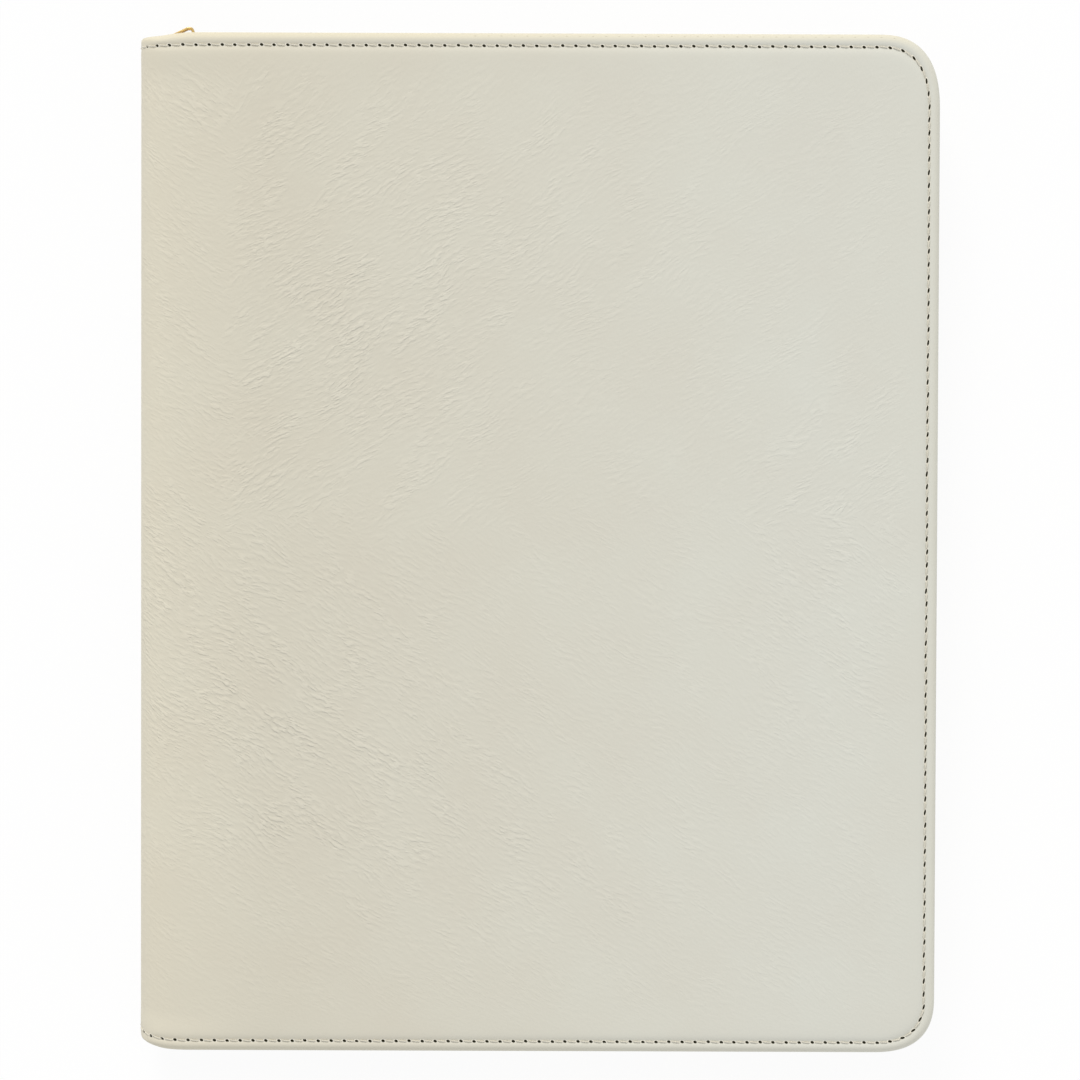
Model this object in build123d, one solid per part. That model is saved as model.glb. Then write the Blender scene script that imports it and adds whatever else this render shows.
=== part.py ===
from build123d import *

import os
from math import cos, hypot, pi, radians, sin

# Zippered padfolio, closed and lying on its back cover, in millimetres.
# X runs from the spine to the fore edge, Y from the tail to the head, Z from the back face to the front face.
# The origin is the middle of the back face.

# Case
case_width = 267.0
case_height = 340.0
case_thickness = 28.0
fore_corner_radius = 17.5
spine_corner_radius = 4.0  # ends of the spine, seen from the front
spine_flat = 6.0  # straight stretch of the spine between its two rolled edges

# Cover build-up, from the outside in
skin_thickness = 1.2
foam_thickness = 0.8
board_thickness = 1.4
lining_thickness = 0.8
hem_width = 7.0  # skin turned in round the edge of the board
edge_roll_radius = 2.2
seam_inset = 3.5
seam_width = 1.2
seam_depth = 0.4
fold_gap = 0.3  # between the cover and spine solids at a fold
stiffener_reach = 25.0  # degrees that the spine stiffener follows each rolled edge
fit_gap = 0.3

# Zip
tape_thickness = 0.7
tape_inset = 2.2
tape_spacing = 3.4  # between the edges of the two tapes
tape_tail = 6.2  # loose tape end past the last stitch, over the rolled edge of the spine
cord_thickness = 1.8  # thickened edge of the tape that carries the teeth
cord_height = 1.6
tooth_pitch = 3.6
tooth_foot = 1.7
tooth_tip = 1.3
tooth_thickness = 2.4
tooth_reach = 1.0  # past the middle plane
stop_width = 1.5
stop_grip = 1.8  # length of the stops over the tape
bottom_stop_width = 4.0

# Slider, parked at the head end of the zip beside the spine
slider_from_spine = 12.8  # spine face to the middle of the slider
slider_length = 12.0
slider_mouth = 11.2
slider_heel = 9.4
slider_corner = 1.6
wing_thickness = 1.0
flange_thickness = 0.9
channel_gap = 0.25  # between the teeth and a wing
slot_gap = 0.25  # between the tape and a flange
divider_length = 4.4
divider_width = 2.2
bail_height = 3.3
bail_thickness = 0.9
bail_width = 2.2
pull_length = 28.0
pull_width = 8.0
pull_neck = 6.4
pull_thickness = 0.7
pull_lift = 0.9  # pivot above the outer wing
pull_window = 8.0
pull_recess = 0.25

# Writing pad and its sleeve
pad_side_margin = 20.0  # pad to the fore edge, and to the rolled edge of the spine
pad_end_margin = 21.0
backing_thickness = 0.8
paper_thickness = 5.0
binding_thickness = 0.3
binding_depth = 18.0
sleeve_margin = 8.0
sleeve_mouth = 24.0  # head of the pad to the mouth of the sleeve
panel_thickness = 1.0
pocket_gap = 0.6  # room behind a pocket panel
pocket_hem = 5.0

# Pockets of the front cover
pocket_margin = 12.0
pocket_low_side = 18.0  # height of the slanted mouth at the spine side
pocket_high_side = 58.0
card_width = 104.0
card_height = 50.0
card_step = 14.0
card_count = 3
window_apart = 24.0  # card slots to the window
window_height = 78.0
window_frame = 8.0
window_thickness = 0.3

# Pen loop
loop_outside = 13.0
loop_corner = 5.0
loop_thickness = 1.2
loop_length = 42.0
loop_height = 30.0  # middle of the loop above the middle of the spine

# Derived positions
x_fore = case_width / 2
x_spine = -case_width / 2
y_head = case_height / 2
z_mid = case_thickness / 2
spine_roll = (case_thickness - spine_flat) / 2
x_hinge = x_spine + spine_roll
fold_angle = 45.0
core_depth = skin_thickness + foam_thickness + board_thickness
inner_depth = core_depth + lining_thickness
hem_depth = core_depth - tape_thickness
lining_inset = tape_inset + tape_thickness + fit_gap
front_plane = Plane.XY.offset(z_mid)


def roll_point(depth, angle):
    """Point of the wrap in x and z where it rolls from the back cover, at 0, to the spine, at 90 degrees."""
    radius = spine_roll - depth
    return (x_hinge - radius * sin(radians(angle)), spine_roll - radius * cos(radians(angle)))


def fold_margin(depth):
    """Angle by which a layer stops short of the fold."""
    return fold_gap / 2 / (spine_roll - depth) * 180 / pi


def cover_layer(outer_depth, lower_depth, inset):
    """Back cover between two depths under its face, with its half of the rolled edge, drawn in by inset."""
    x_edge = x_fore - inset
    stop = fold_angle - fold_margin(lower_depth)
    outer = [roll_point(outer_depth, angle) for angle in (stop, stop / 2, 0)]
    inner = [roll_point(lower_depth, angle) for angle in (0, stop / 2, stop)]
    edges = [
        ThreePointArc(*outer),
        Polyline(outer[-1], (x_edge, outer_depth), (x_edge, lower_depth), inner[0]),
        ThreePointArc(*inner),
        Line(inner[-1], outer[0]),
    ]
    profile = make_face(Plane.XZ * (Curve() + edges))
    layer = extrude(profile, y_head - inset, both=True)
    corners = layer.edges().filter_by(Axis.Z).group_by(Axis.X)[-1]
    return fillet(corners, fore_corner_radius - inset)


def spine_layer(outer_depth, lower_depth, inset, start):
    """Spine between two depths under its face, from an angle of one rolled edge to the same angle of the other."""

    def course(depth):
        lower = [roll_point(depth, angle) for angle in (start, (start + 90) / 2, 90)]
        upper = [(x, case_thickness - z) for x, z in reversed(lower)]
        return [ThreePointArc(*lower), Line(lower[-1], upper[0]), ThreePointArc(*upper)], lower[0], upper[-1]

    outer, outer_low, outer_high = course(outer_depth)
    inner, inner_low, inner_high = course(lower_depth)
    edges = outer + inner + [Line(outer_low, inner_low), Line(outer_high, inner_high)]
    profile = make_face(Plane.XZ * (Curve() + edges))
    return extrude(profile, y_head - inset, both=True)


def outline(inset, x_start):
    """Plan of the case drawn in by inset at head, tail and fore edge, square at x_start."""
    x_edge = x_fore - inset
    plan = Pos((x_start + x_edge) / 2, 0) * Rectangle(x_edge - x_start, case_height - 2 * inset)
    return fillet(plan.vertices().group_by(Axis.X)[-1], fore_corner_radius - inset)


def prism(plan, z_low, z_high):
    return extrude(Pos(0, 0, z_low) * plan, z_high - z_low)


def plate(x_low, x_high, y_low, y_high, z_low, z_high):
    size = (x_high - x_low, y_high - y_low, z_high - z_low)
    return Pos((x_low + x_high) / 2, (y_low + y_high) / 2, (z_low + z_high) / 2) * Box(*size)


def border(outer_inset, inner_inset, z_low, z_high, x_start):
    """Wall that follows head, fore edge and tail between two insets and is open at the spine."""
    return prism(outline(outer_inset, x_start), z_low, z_high) - prism(outline(inner_inset, x_start - 1), z_low, z_high)


def on_turned_edge(point):
    """True for a point of the outer rim at head, tail or fore edge."""
    if point.X < x_hinge or point.Z > spine_roll:
        height = min(point.Z, case_thickness - point.Z)
        depth = spine_roll - hypot(point.X - x_hinge, spine_roll - height) if height < spine_roll else point.X - x_spine
    else:
        depth = point.Z
    at_rim = abs(point.Y) > y_head - fore_corner_radius or point.X > x_fore - 0.01
    return abs(depth) < 0.01 and at_rim


def rolled(blank):
    """Blank of a skin with its outer rim rounded, and the ends of the spine rounded off in plan."""
    turned = fillet([edge for edge in blank.edges() if on_turned_edge(edge @ 0.5)], edge_roll_radius)
    plan = outline(0, x_spine)
    plan = fillet(plan.vertices().group_by(Axis.X)[0], spine_corner_radius)
    return turned & prism(plan, 0, case_thickness)


def cover_skin():
    blank = rolled(cover_layer(0, hem_depth, 0))
    recess = cover_layer(skin_thickness, hem_depth, hem_width)
    seam = cover_layer(0, seam_depth, seam_inset - seam_width / 2) - cover_layer(
        0, seam_depth, seam_inset + seam_width / 2
    )
    return blank - recess - seam


def spine_skin():
    start = fold_angle + fold_margin(core_depth)
    blank = rolled(spine_layer(0, core_depth, 0, start))
    recess = spine_layer(skin_thickness, core_depth, hem_width, start)
    seam = spine_layer(0, seam_depth, seam_inset - seam_width / 2, start) - spine_layer(
        0, seam_depth, seam_inset + seam_width / 2, start
    )
    return blank - recess - seam


def cover_core(z_low, z_high):
    """Flat padding or board that fills the skin inside its hem."""
    return prism(outline(hem_width, x_hinge), z_low, z_high)


# Zip positions
tape_edge_z = z_mid - tape_spacing / 2
tape_middle = tape_inset + tape_thickness / 2
slider_x = x_spine + slider_from_spine
tail_x = x_hinge - tape_tail
chain_x = slider_x + slider_length / 2 + fit_gap
chain_width = tape_spacing + 2 * stop_grip


def zip_tape():
    """Lower half of the tape: a flange sewn under the lining, a wall with a corded edge, and loose tails."""
    inner = tape_inset + tape_thickness
    flange = border(tape_inset, hem_width - fit_gap, hem_depth, core_depth, x_hinge)
    wall = border(tape_inset, inner, hem_depth, tape_edge_z, x_hinge)
    tails = border(tape_inset, inner, spine_roll - (spine_roll - inner_depth) / 2, tape_edge_z, tail_x)
    cord_side = cord_thickness / 2
    cord = border(tape_middle - cord_side, tape_middle + cord_side, tape_edge_z - cord_height, tape_edge_z, chain_x)
    return flange + wall + tails + cord


def zip_path():
    """Line of the chain, from the heel of the slider round to the bottom stop."""
    x_edge = x_fore - tape_middle
    y_edge = y_head - tape_middle
    x_first = chain_x + tooth_foot
    corners = [(x_first, y_edge), (x_edge, y_edge), (x_edge, -y_edge), (x_first, -y_edge)]
    return FilletPolyline(*corners, radius=fore_corner_radius - tape_middle).wire()


def zip_teeth(shift):
    """Tapered teeth on the cord of the lower tape, the first one shift past the start of the chain."""
    tip_z = z_mid + tooth_reach
    taper = Polygon(
        (-tooth_foot / 2, tape_edge_z), (tooth_foot / 2, tape_edge_z), (tooth_tip / 2, tip_z), (-tooth_tip / 2, tip_z),
        align=None,
    )
    tooth = extrude(Plane.XZ * taper, tooth_thickness / 2, both=True)
    path = zip_path()
    count = int((path.length - shift) / tooth_pitch) + 1
    teeth = []
    for index in range(count):
        along = (shift + index * tooth_pitch) / path.length
        place = path.position_at(along)
        teeth.append(Pos(place.X, place.Y, 0) * Rot(0, 0, path.tangent_angle_at(along)) * tooth)
    return Compound(children=teeth)


def clamp(x_middle, y_middle, width, z_low, z_high):
    """Block of metal crimped over the edge of one tape or both."""
    half = tooth_thickness / 2
    block = plate(x_middle - width / 2, x_middle + width / 2, y_middle - half, y_middle + half, z_low, z_high)
    slot = tape_thickness / 2
    tapes = plate(tail_x, x_fore, y_middle - slot, y_middle + slot, 0, tape_edge_z)
    return block - tapes - mirror(tapes, about=front_plane)


def top_stop():
    x_middle = slider_x - slider_length / 2 - fit_gap - stop_width / 2
    return clamp(x_middle, y_head - tape_middle, stop_width, tape_edge_z - stop_grip, tape_edge_z + tape_thickness)


def bottom_stop():
    x_middle = chain_x - fit_gap - bottom_stop_width / 2
    return clamp(x_middle, tape_middle - y_head, bottom_stop_width, z_mid - chain_width / 2, z_mid + chain_width / 2)


# The slider is drawn about its middle: x along the zip, y outwards, z across the chain
slider_place = Pos(slider_x, y_head - tape_middle, z_mid)
channel_height = tooth_thickness + 2 * channel_gap
wing_top = channel_height / 2 + wing_thickness
pivot_x = slider_length * 0.13
pivot_y = wing_top + pull_lift


def across(plan, y_low, y_high):
    """Solid of a plan drawn in x and z, between two heights in y."""
    return extrude(Plane.XZ.offset(-y_high) * plan, y_high - y_low)


def slider_body():
    half = slider_length / 2
    shield = Polygon(
        (-half, -slider_mouth / 2), (half, -slider_heel / 2), (half, slider_heel / 2), (-half, slider_mouth / 2),
        align=None,
    )
    wing = fillet(shield.vertices(), slider_corner)
    inside = offset(wing, -flange_thickness, kind=Kind.INTERSECTION)
    throat = Rectangle(slider_length, slider_heel - 2 * flange_thickness)
    flange = wing - inside - throat
    divider = Polygon(
        (-half, -divider_width / 2), (divider_length - half, -divider_width / 8),
        (divider_length - half, divider_width / 8), (-half, divider_width / 2), align=None,
    )
    floor = channel_height / 2
    slot = tape_thickness / 2 + slot_gap
    body = across(wing, floor, wing_top) + across(wing, -wing_top, -floor)
    body += across(flange, slot, floor) + across(flange, -floor, -slot)
    return slider_place * (body + across(divider, -floor, floor))


def slider_bail():
    """Strap over the outer wing: a long ramp from the mouth and a short drop at the heel."""
    half = slider_length / 2
    rise = bail_height - bail_thickness / 2
    points = [(-half * 0.9, -bail_thickness), (half * 0.42, rise), (half * 0.66, rise), (half * 0.92, -bail_thickness)]
    strap = trace(FilletPolyline(*points, radius=bail_thickness * 0.7), bail_thickness)
    bail = extrude(strap, bail_width / 2, both=True)
    under = plate(-slider_length, slider_length, -bail_height, 0, -bail_width, bail_width)
    return slider_place * Pos(0, wing_top, 0) * (bail - under)


def pull_tab():
    """Flat tab that hangs on the bail by a round bar and lies along the chain."""
    bar = pull_thickness / 2
    arm = (pull_neck - bail_width) / 2 - fit_gap
    tip = pull_length
    plan = Polygon(
        (0, -pull_neck / 2), (pull_window, -pull_neck / 2), (tip, -pull_width / 2), (tip, pull_width / 2),
        (pull_window, pull_neck / 2), (0, pull_neck / 2), align=None,
    )
    plan = fillet(plan.vertices().group_by(Axis.X)[-1], pull_width * 0.4)
    opening = Pos(pull_window / 2, 0) * Rectangle(pull_window, pull_neck - 2 * arm)
    tab = across(plan - opening, -bar, bar)
    tab += extrude(Circle(bar), pull_neck / 2, both=True)
    grip = Pos((pull_window + tip) / 2 + 1, 0) * RectangleRounded(tip - pull_window - 6, pull_neck - 2.4, 1.2)
    tab -= across(grip, bar - pull_recess, bar)
    return slider_place * Pos(pivot_x, pivot_y, 0) * tab


# Fittings of the back cover
pad_left = x_hinge + pad_side_margin
pad_right = x_fore - pad_side_margin
pad_head = y_head - pad_end_margin
pad_floor = inner_depth
sleeve_room = backing_thickness + fit_gap / 2
paper_floor = pad_floor + sleeve_room + panel_thickness
paper_top = paper_floor + paper_thickness


def sewn_panel(panel_plan, x_low, x_high, y_low, y_high, side_hem, foot_hem, floor, room):
    """Flat panel held off the lining by hems on its two sides and its foot, open at the mouth."""
    hem_top = floor + room
    y_hem = y_low + foot_hem
    panel = prism(panel_plan, hem_top, hem_top + panel_thickness)
    hems = prism(panel_plan, floor, hem_top)
    foot = hems & plate(x_low, x_high, y_low, y_hem, floor, hem_top)
    left = hems & plate(x_low, x_low + side_hem, y_hem, y_high, floor, hem_top)
    right = hems & plate(x_high - side_hem, x_high, y_hem, y_high, floor, hem_top)
    return Compound(children=[panel, foot, left, right])


def block_plan(x_low, x_high, y_low, y_high):
    return Pos((x_low + x_high) / 2, (y_low + y_high) / 2) * Rectangle(x_high - x_low, y_high - y_low)


def pad_sleeve():
    sides = (pad_left - sleeve_margin, pad_right + sleeve_margin, -pad_head - sleeve_margin, pad_head - sleeve_mouth)
    hem = sleeve_margin - fit_gap
    return sewn_panel(block_plan(*sides), *sides, hem, hem, pad_floor, sleeve_room)


def pad_binding():
    """Strip folded over the head of the pad, from the top sheet down to the backing."""
    top = paper_top + binding_thickness
    strip = plate(pad_left, pad_right, pad_head - binding_depth, pad_head + binding_thickness, pad_floor, top)
    block = plate(pad_left, pad_right, pad_head - binding_depth, pad_head, pad_floor, paper_top)
    return strip - block


# Fittings of the front cover, drawn on the back cover and mirrored across the middle plane
pocket_left = x_hinge + pocket_margin
pocket_right = x_fore - pocket_margin
pocket_foot = pocket_margin - y_head
row_top = y_head - pocket_margin
pocket_height = pocket_gap + panel_thickness
window_width = pocket_right - pocket_left - card_width - window_apart


def on_front(piece):
    return mirror(piece, about=front_plane)


def document_pocket():
    """Wide pocket with a slanted mouth."""
    plan = Polygon(
        (pocket_left, pocket_foot), (pocket_right, pocket_foot), (pocket_right, pocket_high_side),
        (pocket_left, pocket_low_side), align=None,
    )
    sides = (pocket_left, pocket_right, pocket_foot, max(pocket_low_side, pocket_high_side))
    return on_front(sewn_panel(plan, *sides, pocket_hem, pocket_hem, inner_depth, pocket_gap))


def card_slot(index):
    """Card pocket; each one lies on the one before it and has its mouth a step lower."""
    foot = row_top - card_height - (card_count - 1) * card_step
    sides = (pocket_left, pocket_left + card_width, foot, row_top - index * card_step)
    foot_hem = pocket_hem + (card_count - 1 - index) * card_step
    floor = inner_depth + index * pocket_height
    return on_front(sewn_panel(block_plan(*sides), *sides, pocket_hem, foot_hem, floor, pocket_gap))


def window_frame_panel():
    """Frame of a card window: four strips over hems at the sides and foot."""
    left = pocket_right - window_width
    foot = row_top - window_height
    hem_top = inner_depth + pocket_gap
    top = hem_top + panel_thickness
    hem = window_frame / 2
    strips = [
        plate(left, pocket_right, foot, foot + window_frame, hem_top, top),
        plate(left, pocket_right, row_top - window_frame, row_top, hem_top, top),
        plate(left, left + window_frame, foot + window_frame, row_top - window_frame, hem_top, top),
        plate(pocket_right - window_frame, pocket_right, foot + window_frame, row_top - window_frame, hem_top, top),
        plate(left, pocket_right, foot, foot + hem, inner_depth, hem_top),
        plate(left, left + hem, foot + hem, row_top, inner_depth, hem_top),
        plate(pocket_right - hem, pocket_right, foot + hem, row_top, inner_depth, hem_top),
    ]
    return on_front(Compound(children=strips))


def clear_window():
    left = pocket_right - window_width + window_frame / 2 + fit_gap
    right = pocket_right - window_frame / 2 - fit_gap
    foot = row_top - window_height + window_frame / 2 + fit_gap
    top = inner_depth + pocket_gap
    return on_front(plate(left, right, foot, row_top - fit_gap, top - window_thickness, top))


def pen_loop():
    """Band of elastic sewn to the spine lining."""
    ring = RectangleRounded(loop_outside, loop_outside, loop_corner)
    ring -= RectangleRounded(
        loop_outside - 2 * loop_thickness, loop_outside - 2 * loop_thickness, loop_corner - loop_thickness
    )
    band = extrude(Plane.XZ * ring, loop_length / 2, both=True)
    return Pos(x_spine + inner_depth + loop_outside / 2, loop_height, z_mid) * band


pieces = {
    "back_skin": cover_skin(),
    "back_foam": cover_core(skin_thickness, skin_thickness + foam_thickness),
    "back_board": cover_core(skin_thickness + foam_thickness, core_depth),
    "back_lining": cover_layer(core_depth, inner_depth, lining_inset),
    "back_zip_tape": zip_tape(),
    "back_zip_teeth": zip_teeth(0),
    "back_top_stop": top_stop(),
    "bottom_stop": bottom_stop(),
    "spine_skin": spine_skin(),
    "spine_stiffener": spine_layer(skin_thickness, core_depth, hem_width, 90 - stiffener_reach),
    "spine_lining": spine_layer(core_depth, inner_depth, lining_inset, fold_angle + fold_margin(inner_depth)),
    "pen_loop": pen_loop(),
    "slider_body": slider_body(),
    "slider_bail": slider_bail(),
    "pull_tab": pull_tab(),
    "pad_sleeve": pad_sleeve(),
    "pad_backing": plate(pad_left, pad_right, -pad_head, pad_head, pad_floor, pad_floor + backing_thickness),
    "pad_paper": plate(pad_left, pad_right, -pad_head, pad_head, paper_floor, paper_top),
    "pad_binding": pad_binding(),
    "document_pocket": document_pocket(),
    "window_frame": window_frame_panel(),
    "clear_window": clear_window(),
}
for index in range(card_count):
    pieces[f"card_slot_{index + 1}"] = card_slot(index)
for name in ("skin", "foam", "board", "lining", "zip_tape", "top_stop"):
    pieces["front_" + name] = on_front(pieces["back_" + name])
pieces["front_zip_teeth"] = on_front(zip_teeth(tooth_pitch / 2))

os.makedirs("parts", exist_ok=True)
for name, piece in pieces.items():
    export_step(piece, f"parts/{name}.step")
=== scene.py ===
"""Models the leather, seams, zip, pockets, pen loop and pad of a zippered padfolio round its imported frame."""

import contextlib
import math

import bpy
from mathutils import Matrix, Vector, noise


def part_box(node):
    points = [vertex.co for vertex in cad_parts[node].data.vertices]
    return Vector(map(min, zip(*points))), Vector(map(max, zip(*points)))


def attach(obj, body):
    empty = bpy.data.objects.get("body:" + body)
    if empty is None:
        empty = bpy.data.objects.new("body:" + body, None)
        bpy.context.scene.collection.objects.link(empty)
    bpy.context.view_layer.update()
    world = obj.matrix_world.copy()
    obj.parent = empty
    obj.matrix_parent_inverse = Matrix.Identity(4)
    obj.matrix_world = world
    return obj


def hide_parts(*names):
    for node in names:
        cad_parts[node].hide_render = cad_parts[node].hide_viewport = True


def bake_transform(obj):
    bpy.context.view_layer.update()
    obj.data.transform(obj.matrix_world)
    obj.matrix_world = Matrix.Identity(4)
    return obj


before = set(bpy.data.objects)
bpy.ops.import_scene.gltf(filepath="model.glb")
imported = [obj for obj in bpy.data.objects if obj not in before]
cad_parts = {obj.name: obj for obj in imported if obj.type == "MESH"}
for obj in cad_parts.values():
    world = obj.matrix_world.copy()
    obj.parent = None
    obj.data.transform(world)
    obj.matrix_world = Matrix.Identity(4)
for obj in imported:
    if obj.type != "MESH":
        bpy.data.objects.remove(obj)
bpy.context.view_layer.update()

bl_info = {
    "name": "Zippered padfolio",
    "version": (1, 0, 0),
    "blender": (4, 5, 0),
    "location": "View3D > Sidebar > Padfolio",
    "description": "Models the leather, seams, zip, pockets and pad of a zippered padfolio",
    "category": "Add Mesh",
}

X_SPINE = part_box("spine_skin")[0].x
X_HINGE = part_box("front_foam")[0].x
X_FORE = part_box("front_skin")[1].x
Y_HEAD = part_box("front_skin")[1].y
Z_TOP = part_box("front_skin")[1].z
Z_MID = Z_TOP / 2
ROLL = X_HINGE - X_SPINE
LINING_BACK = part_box("pad_backing")[0].z
LINING_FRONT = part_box("document_pocket")[1].z
TAPE_MIDDLE = (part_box("slider_body")[0].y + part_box("slider_body")[1].y) / 2
TAPE_INSET = Y_HEAD - TAPE_MIDDLE
MM = 0.001

# Creases: their slant, the slant of the chains they lie in, and where they turn from falling to rising.
SLANT = math.radians(29)
CHAIN_SLANT = math.radians(50)
TURN_X = -0.102
TURN_Y = 0.009
CREASE_BUMP = 0.00022

# Ends of the covers: how far from the spine they are drawn in, and by how much.
HEAD_REACH, HEAD_DROP = 0.0180, 0.0012
TAIL_REACH, TAIL_DROP = 0.017, 0.0036

# Edge of the leather: how much shallower it is round the spine, and how deep its hem lies.
SPINE_FLATTER = 0.0009
HEM_DEPTH = 0.0027

# Flat of the leather: how far it swells, dips beside the spine and sinks on the back.
SWELL = 0.22 * MM
SPINE_DIP = 0.75 * MM
BACK_SINK = 0.42 * MM

# Edge seam: how deep the thread and the needle holes lie, how far the holes stray, and their size. The dents
# that the under thread leaves lie along the rim of the head.
THREAD_DEPTH, HOLE_DEPTH = 0.00040, 0.00046
STRAY_ALONG, STRAY_ACROSS = 0.0003, 0.00022
HOLE_LENGTH, HOLE_WIDTH = 0.00126, 0.00094
DENT_LENGTH, DENT_WIDTH = 0.00080, 0.00042
DENT_INSET = 0.00078

# Zip: half the thickness of a tape, how far its tails stay off the hem, half the size of its cord, and the
# number of teeth in a row with the size of one along the chain and through it.
TAPE_HALF = 0.00035
TAPE_CLEAR = 0.0002
CORD_ACROSS, CORD_DEEP = 0.0009, 0.0008
TEETH = 225
TOOTH_LONG, TOOTH_DEEP = 0.0017, 0.0024

# Pockets: the width of a panel's shaped edge, the step of its grid, and the pitch and length of its stitches.
PANEL_EDGE, PANEL_STEP = 0.008, 0.006
POCKET_PITCH, POCKET_STITCH = 0.0036, 0.0029

# Pad: the room for its loose top sheets, how far they lie apart, and how far its pages stray.
SHEETS_ROOM, SHEET_STEP = 0.00045, 0.00013
PAGE_STRAY = 0.00022

# Camera: distance from the front cover and tilt towards the tail.
CAMERA_AWAY = 1.2
CAMERA_TILT = math.radians(1.6)


def length_setting(name, description, default):
    """A length that the panel shows, in metres."""
    return bpy.props.FloatProperty(name=name, description=description, default=default, unit="LENGTH")


def colour_setting(name, description, default):
    """A linear colour that the panel shows."""
    return bpy.props.FloatVectorProperty(name=name, description=description, default=default, subtype="COLOR")


class CaseSizes(bpy.types.PropertyGroup):
    """Sizes of the sewn and turned pieces."""

    zip_corner: length_setting("Zip corner", "Radius of the fore corners that the zip is bent to", 0.0175)
    corner_across: length_setting("Corner across", "Reach of the fore corners along head and tail", 0.0207)
    head_corner: length_setting("Head corner", "Reach of the head corner along the fore edge", 0.0255)
    tail_corner: length_setting("Tail corner", "Reach of the tail corner along the fore edge", 0.0187)
    corner_fullness: bpy.props.FloatProperty(
        name="Corner fullness", description="Power of the corners' curve; 2 is an ellipse", default=2.57)
    leather: length_setting("Leather", "Thickness of the outer leather", 0.001)
    seam_inset: length_setting("Seam inset", "Distance of the edge seam from the edge", 0.0034)
    stitch_pitch: length_setting("Stitch pitch", "Distance from one needle hole to the next", 0.00436)
    thread: length_setting("Thread", "Diameter of the sewing thread", 0.00052)
    crease: length_setting("Crease", "Height of the larger creases in the leather", 0.00003)
    grid_step: length_setting("Grid step", "Spacing of the leather's grid on the flat of a cover", 0.0017)
    tooth_pitch: length_setting("Tooth pitch", "Distance from one zip tooth to the next on one tape", 0.0036)
    rule_pitch: length_setting("Rule pitch", "Distance between the ruled lines of the pad", 0.0087)


class CaseColours(bpy.types.PropertyGroup):
    """Colours of the finishes."""

    ivory: colour_setting("Leather", "Ivory leather outside", (0.664, 0.630, 0.528))
    thread: colour_setting("Thread", "Sewing thread", (0.76, 0.72, 0.61))
    # Near black: the needle holes carry painted shade.
    hole: colour_setting("Needle hole", "Inside of a needle hole", (0.022, 0.021, 0.010))
    pocket: colour_setting("Pocket leather", "Leather of the pockets inside", (0.63, 0.60, 0.49))
    lining: colour_setting("Lining", "Woven lining", (0.52, 0.47, 0.36))
    tape: colour_setting("Zip tape", "Woven zip tape", (0.60, 0.56, 0.44))
    gold: colour_setting("Metal", "Gold coloured metal", (0.64, 0.45, 0.17))
    elastic: colour_setting("Elastic", "Ribbed elastic of the pen loop", (0.56, 0.52, 0.41))
    paper: colour_setting("Paper", "Paper of the pad", (0.84, 0.83, 0.77))
    rule: colour_setting("Ruling", "Ruled lines of the pad", (0.42, 0.55, 0.68))
    binding: colour_setting("Binding", "Cloth binding of the pad", (0.16, 0.12, 0.08))
    board: colour_setting("Board", "Grey board", (0.33, 0.31, 0.27))


def eased(value, low, high):
    """Goes smoothly from 0 at low to 1 at high."""
    part = min(max((value - low) / (high - low), 0.0), 1.0)
    return part * part * (3.0 - 2.0 * part)


def start_fresh():
    """Deselects everything, so that the next operator acts on its own new shape only."""
    if bpy.context.mode != "OBJECT":
        bpy.ops.object.mode_set(mode="OBJECT")
    bpy.ops.object.select_all(action="DESELECT")


def named_start(name):
    """Takes the primitive just added and gives it its piece's name."""
    piece = bpy.context.active_object
    piece.name = name
    piece.data.name = name
    return piece


def take_up(piece):
    """Makes one piece the selected and active one."""
    start_fresh()
    piece.select_set(True)
    bpy.context.view_layer.objects.active = piece


@contextlib.contextmanager
def editing(piece):
    """Edit mode on one piece, with all of it selected at first."""
    take_up(piece)
    bpy.ops.object.mode_set(mode="EDIT")
    bpy.ops.mesh.select_mode(type="VERT")
    bpy.ops.mesh.select_all(action="SELECT")
    yield piece
    bpy.ops.object.mode_set(mode="OBJECT")


def select_where(piece, test):
    """Selects the vertices that pass a test of their place; called in edit mode."""
    bpy.ops.mesh.select_all(action="DESELECT")
    bpy.ops.object.mode_set(mode="OBJECT")
    for vertex in piece.data.vertices:
        vertex.select = bool(test(vertex.co))
    bpy.ops.object.mode_set(mode="EDIT")


def extrude(by):
    """Extrudes what is selected and moves it; called in edit mode."""
    bpy.ops.mesh.extrude_region_move(TRANSFORM_OT_translate={"value": by})


def face_out():
    """Turns every face outwards; called in edit mode."""
    bpy.ops.mesh.select_all(action="SELECT")
    bpy.ops.mesh.normals_make_consistent(inside=False)


def apply_modifier(piece, kind, **settings):
    """Adds one modifier, sets it and applies it."""
    take_up(piece)
    made = piece.modifiers.new(kind.title(), kind)
    for key, value in settings.items():
        setattr(made, key, value)
    bpy.ops.object.modifier_apply(modifier=made.name)


def round_edges(piece, width, segments, angle):
    """Bevels the edges where faces meet at more than the angle."""
    apply_modifier(piece, "BEVEL", width=width, segments=segments, limit_method="ANGLE",
                   angle_limit=math.radians(angle))


def smooth_faces(piece, angle=40):
    """Shades smooth, with edges kept where faces meet at more than the angle."""
    take_up(piece)
    bpy.ops.object.shade_smooth_by_angle(angle=math.radians(angle))


def dress(piece, finish):
    """Gives a piece its material."""
    piece.data.materials.clear()
    piece.data.materials.append(finish)
    return piece


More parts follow.
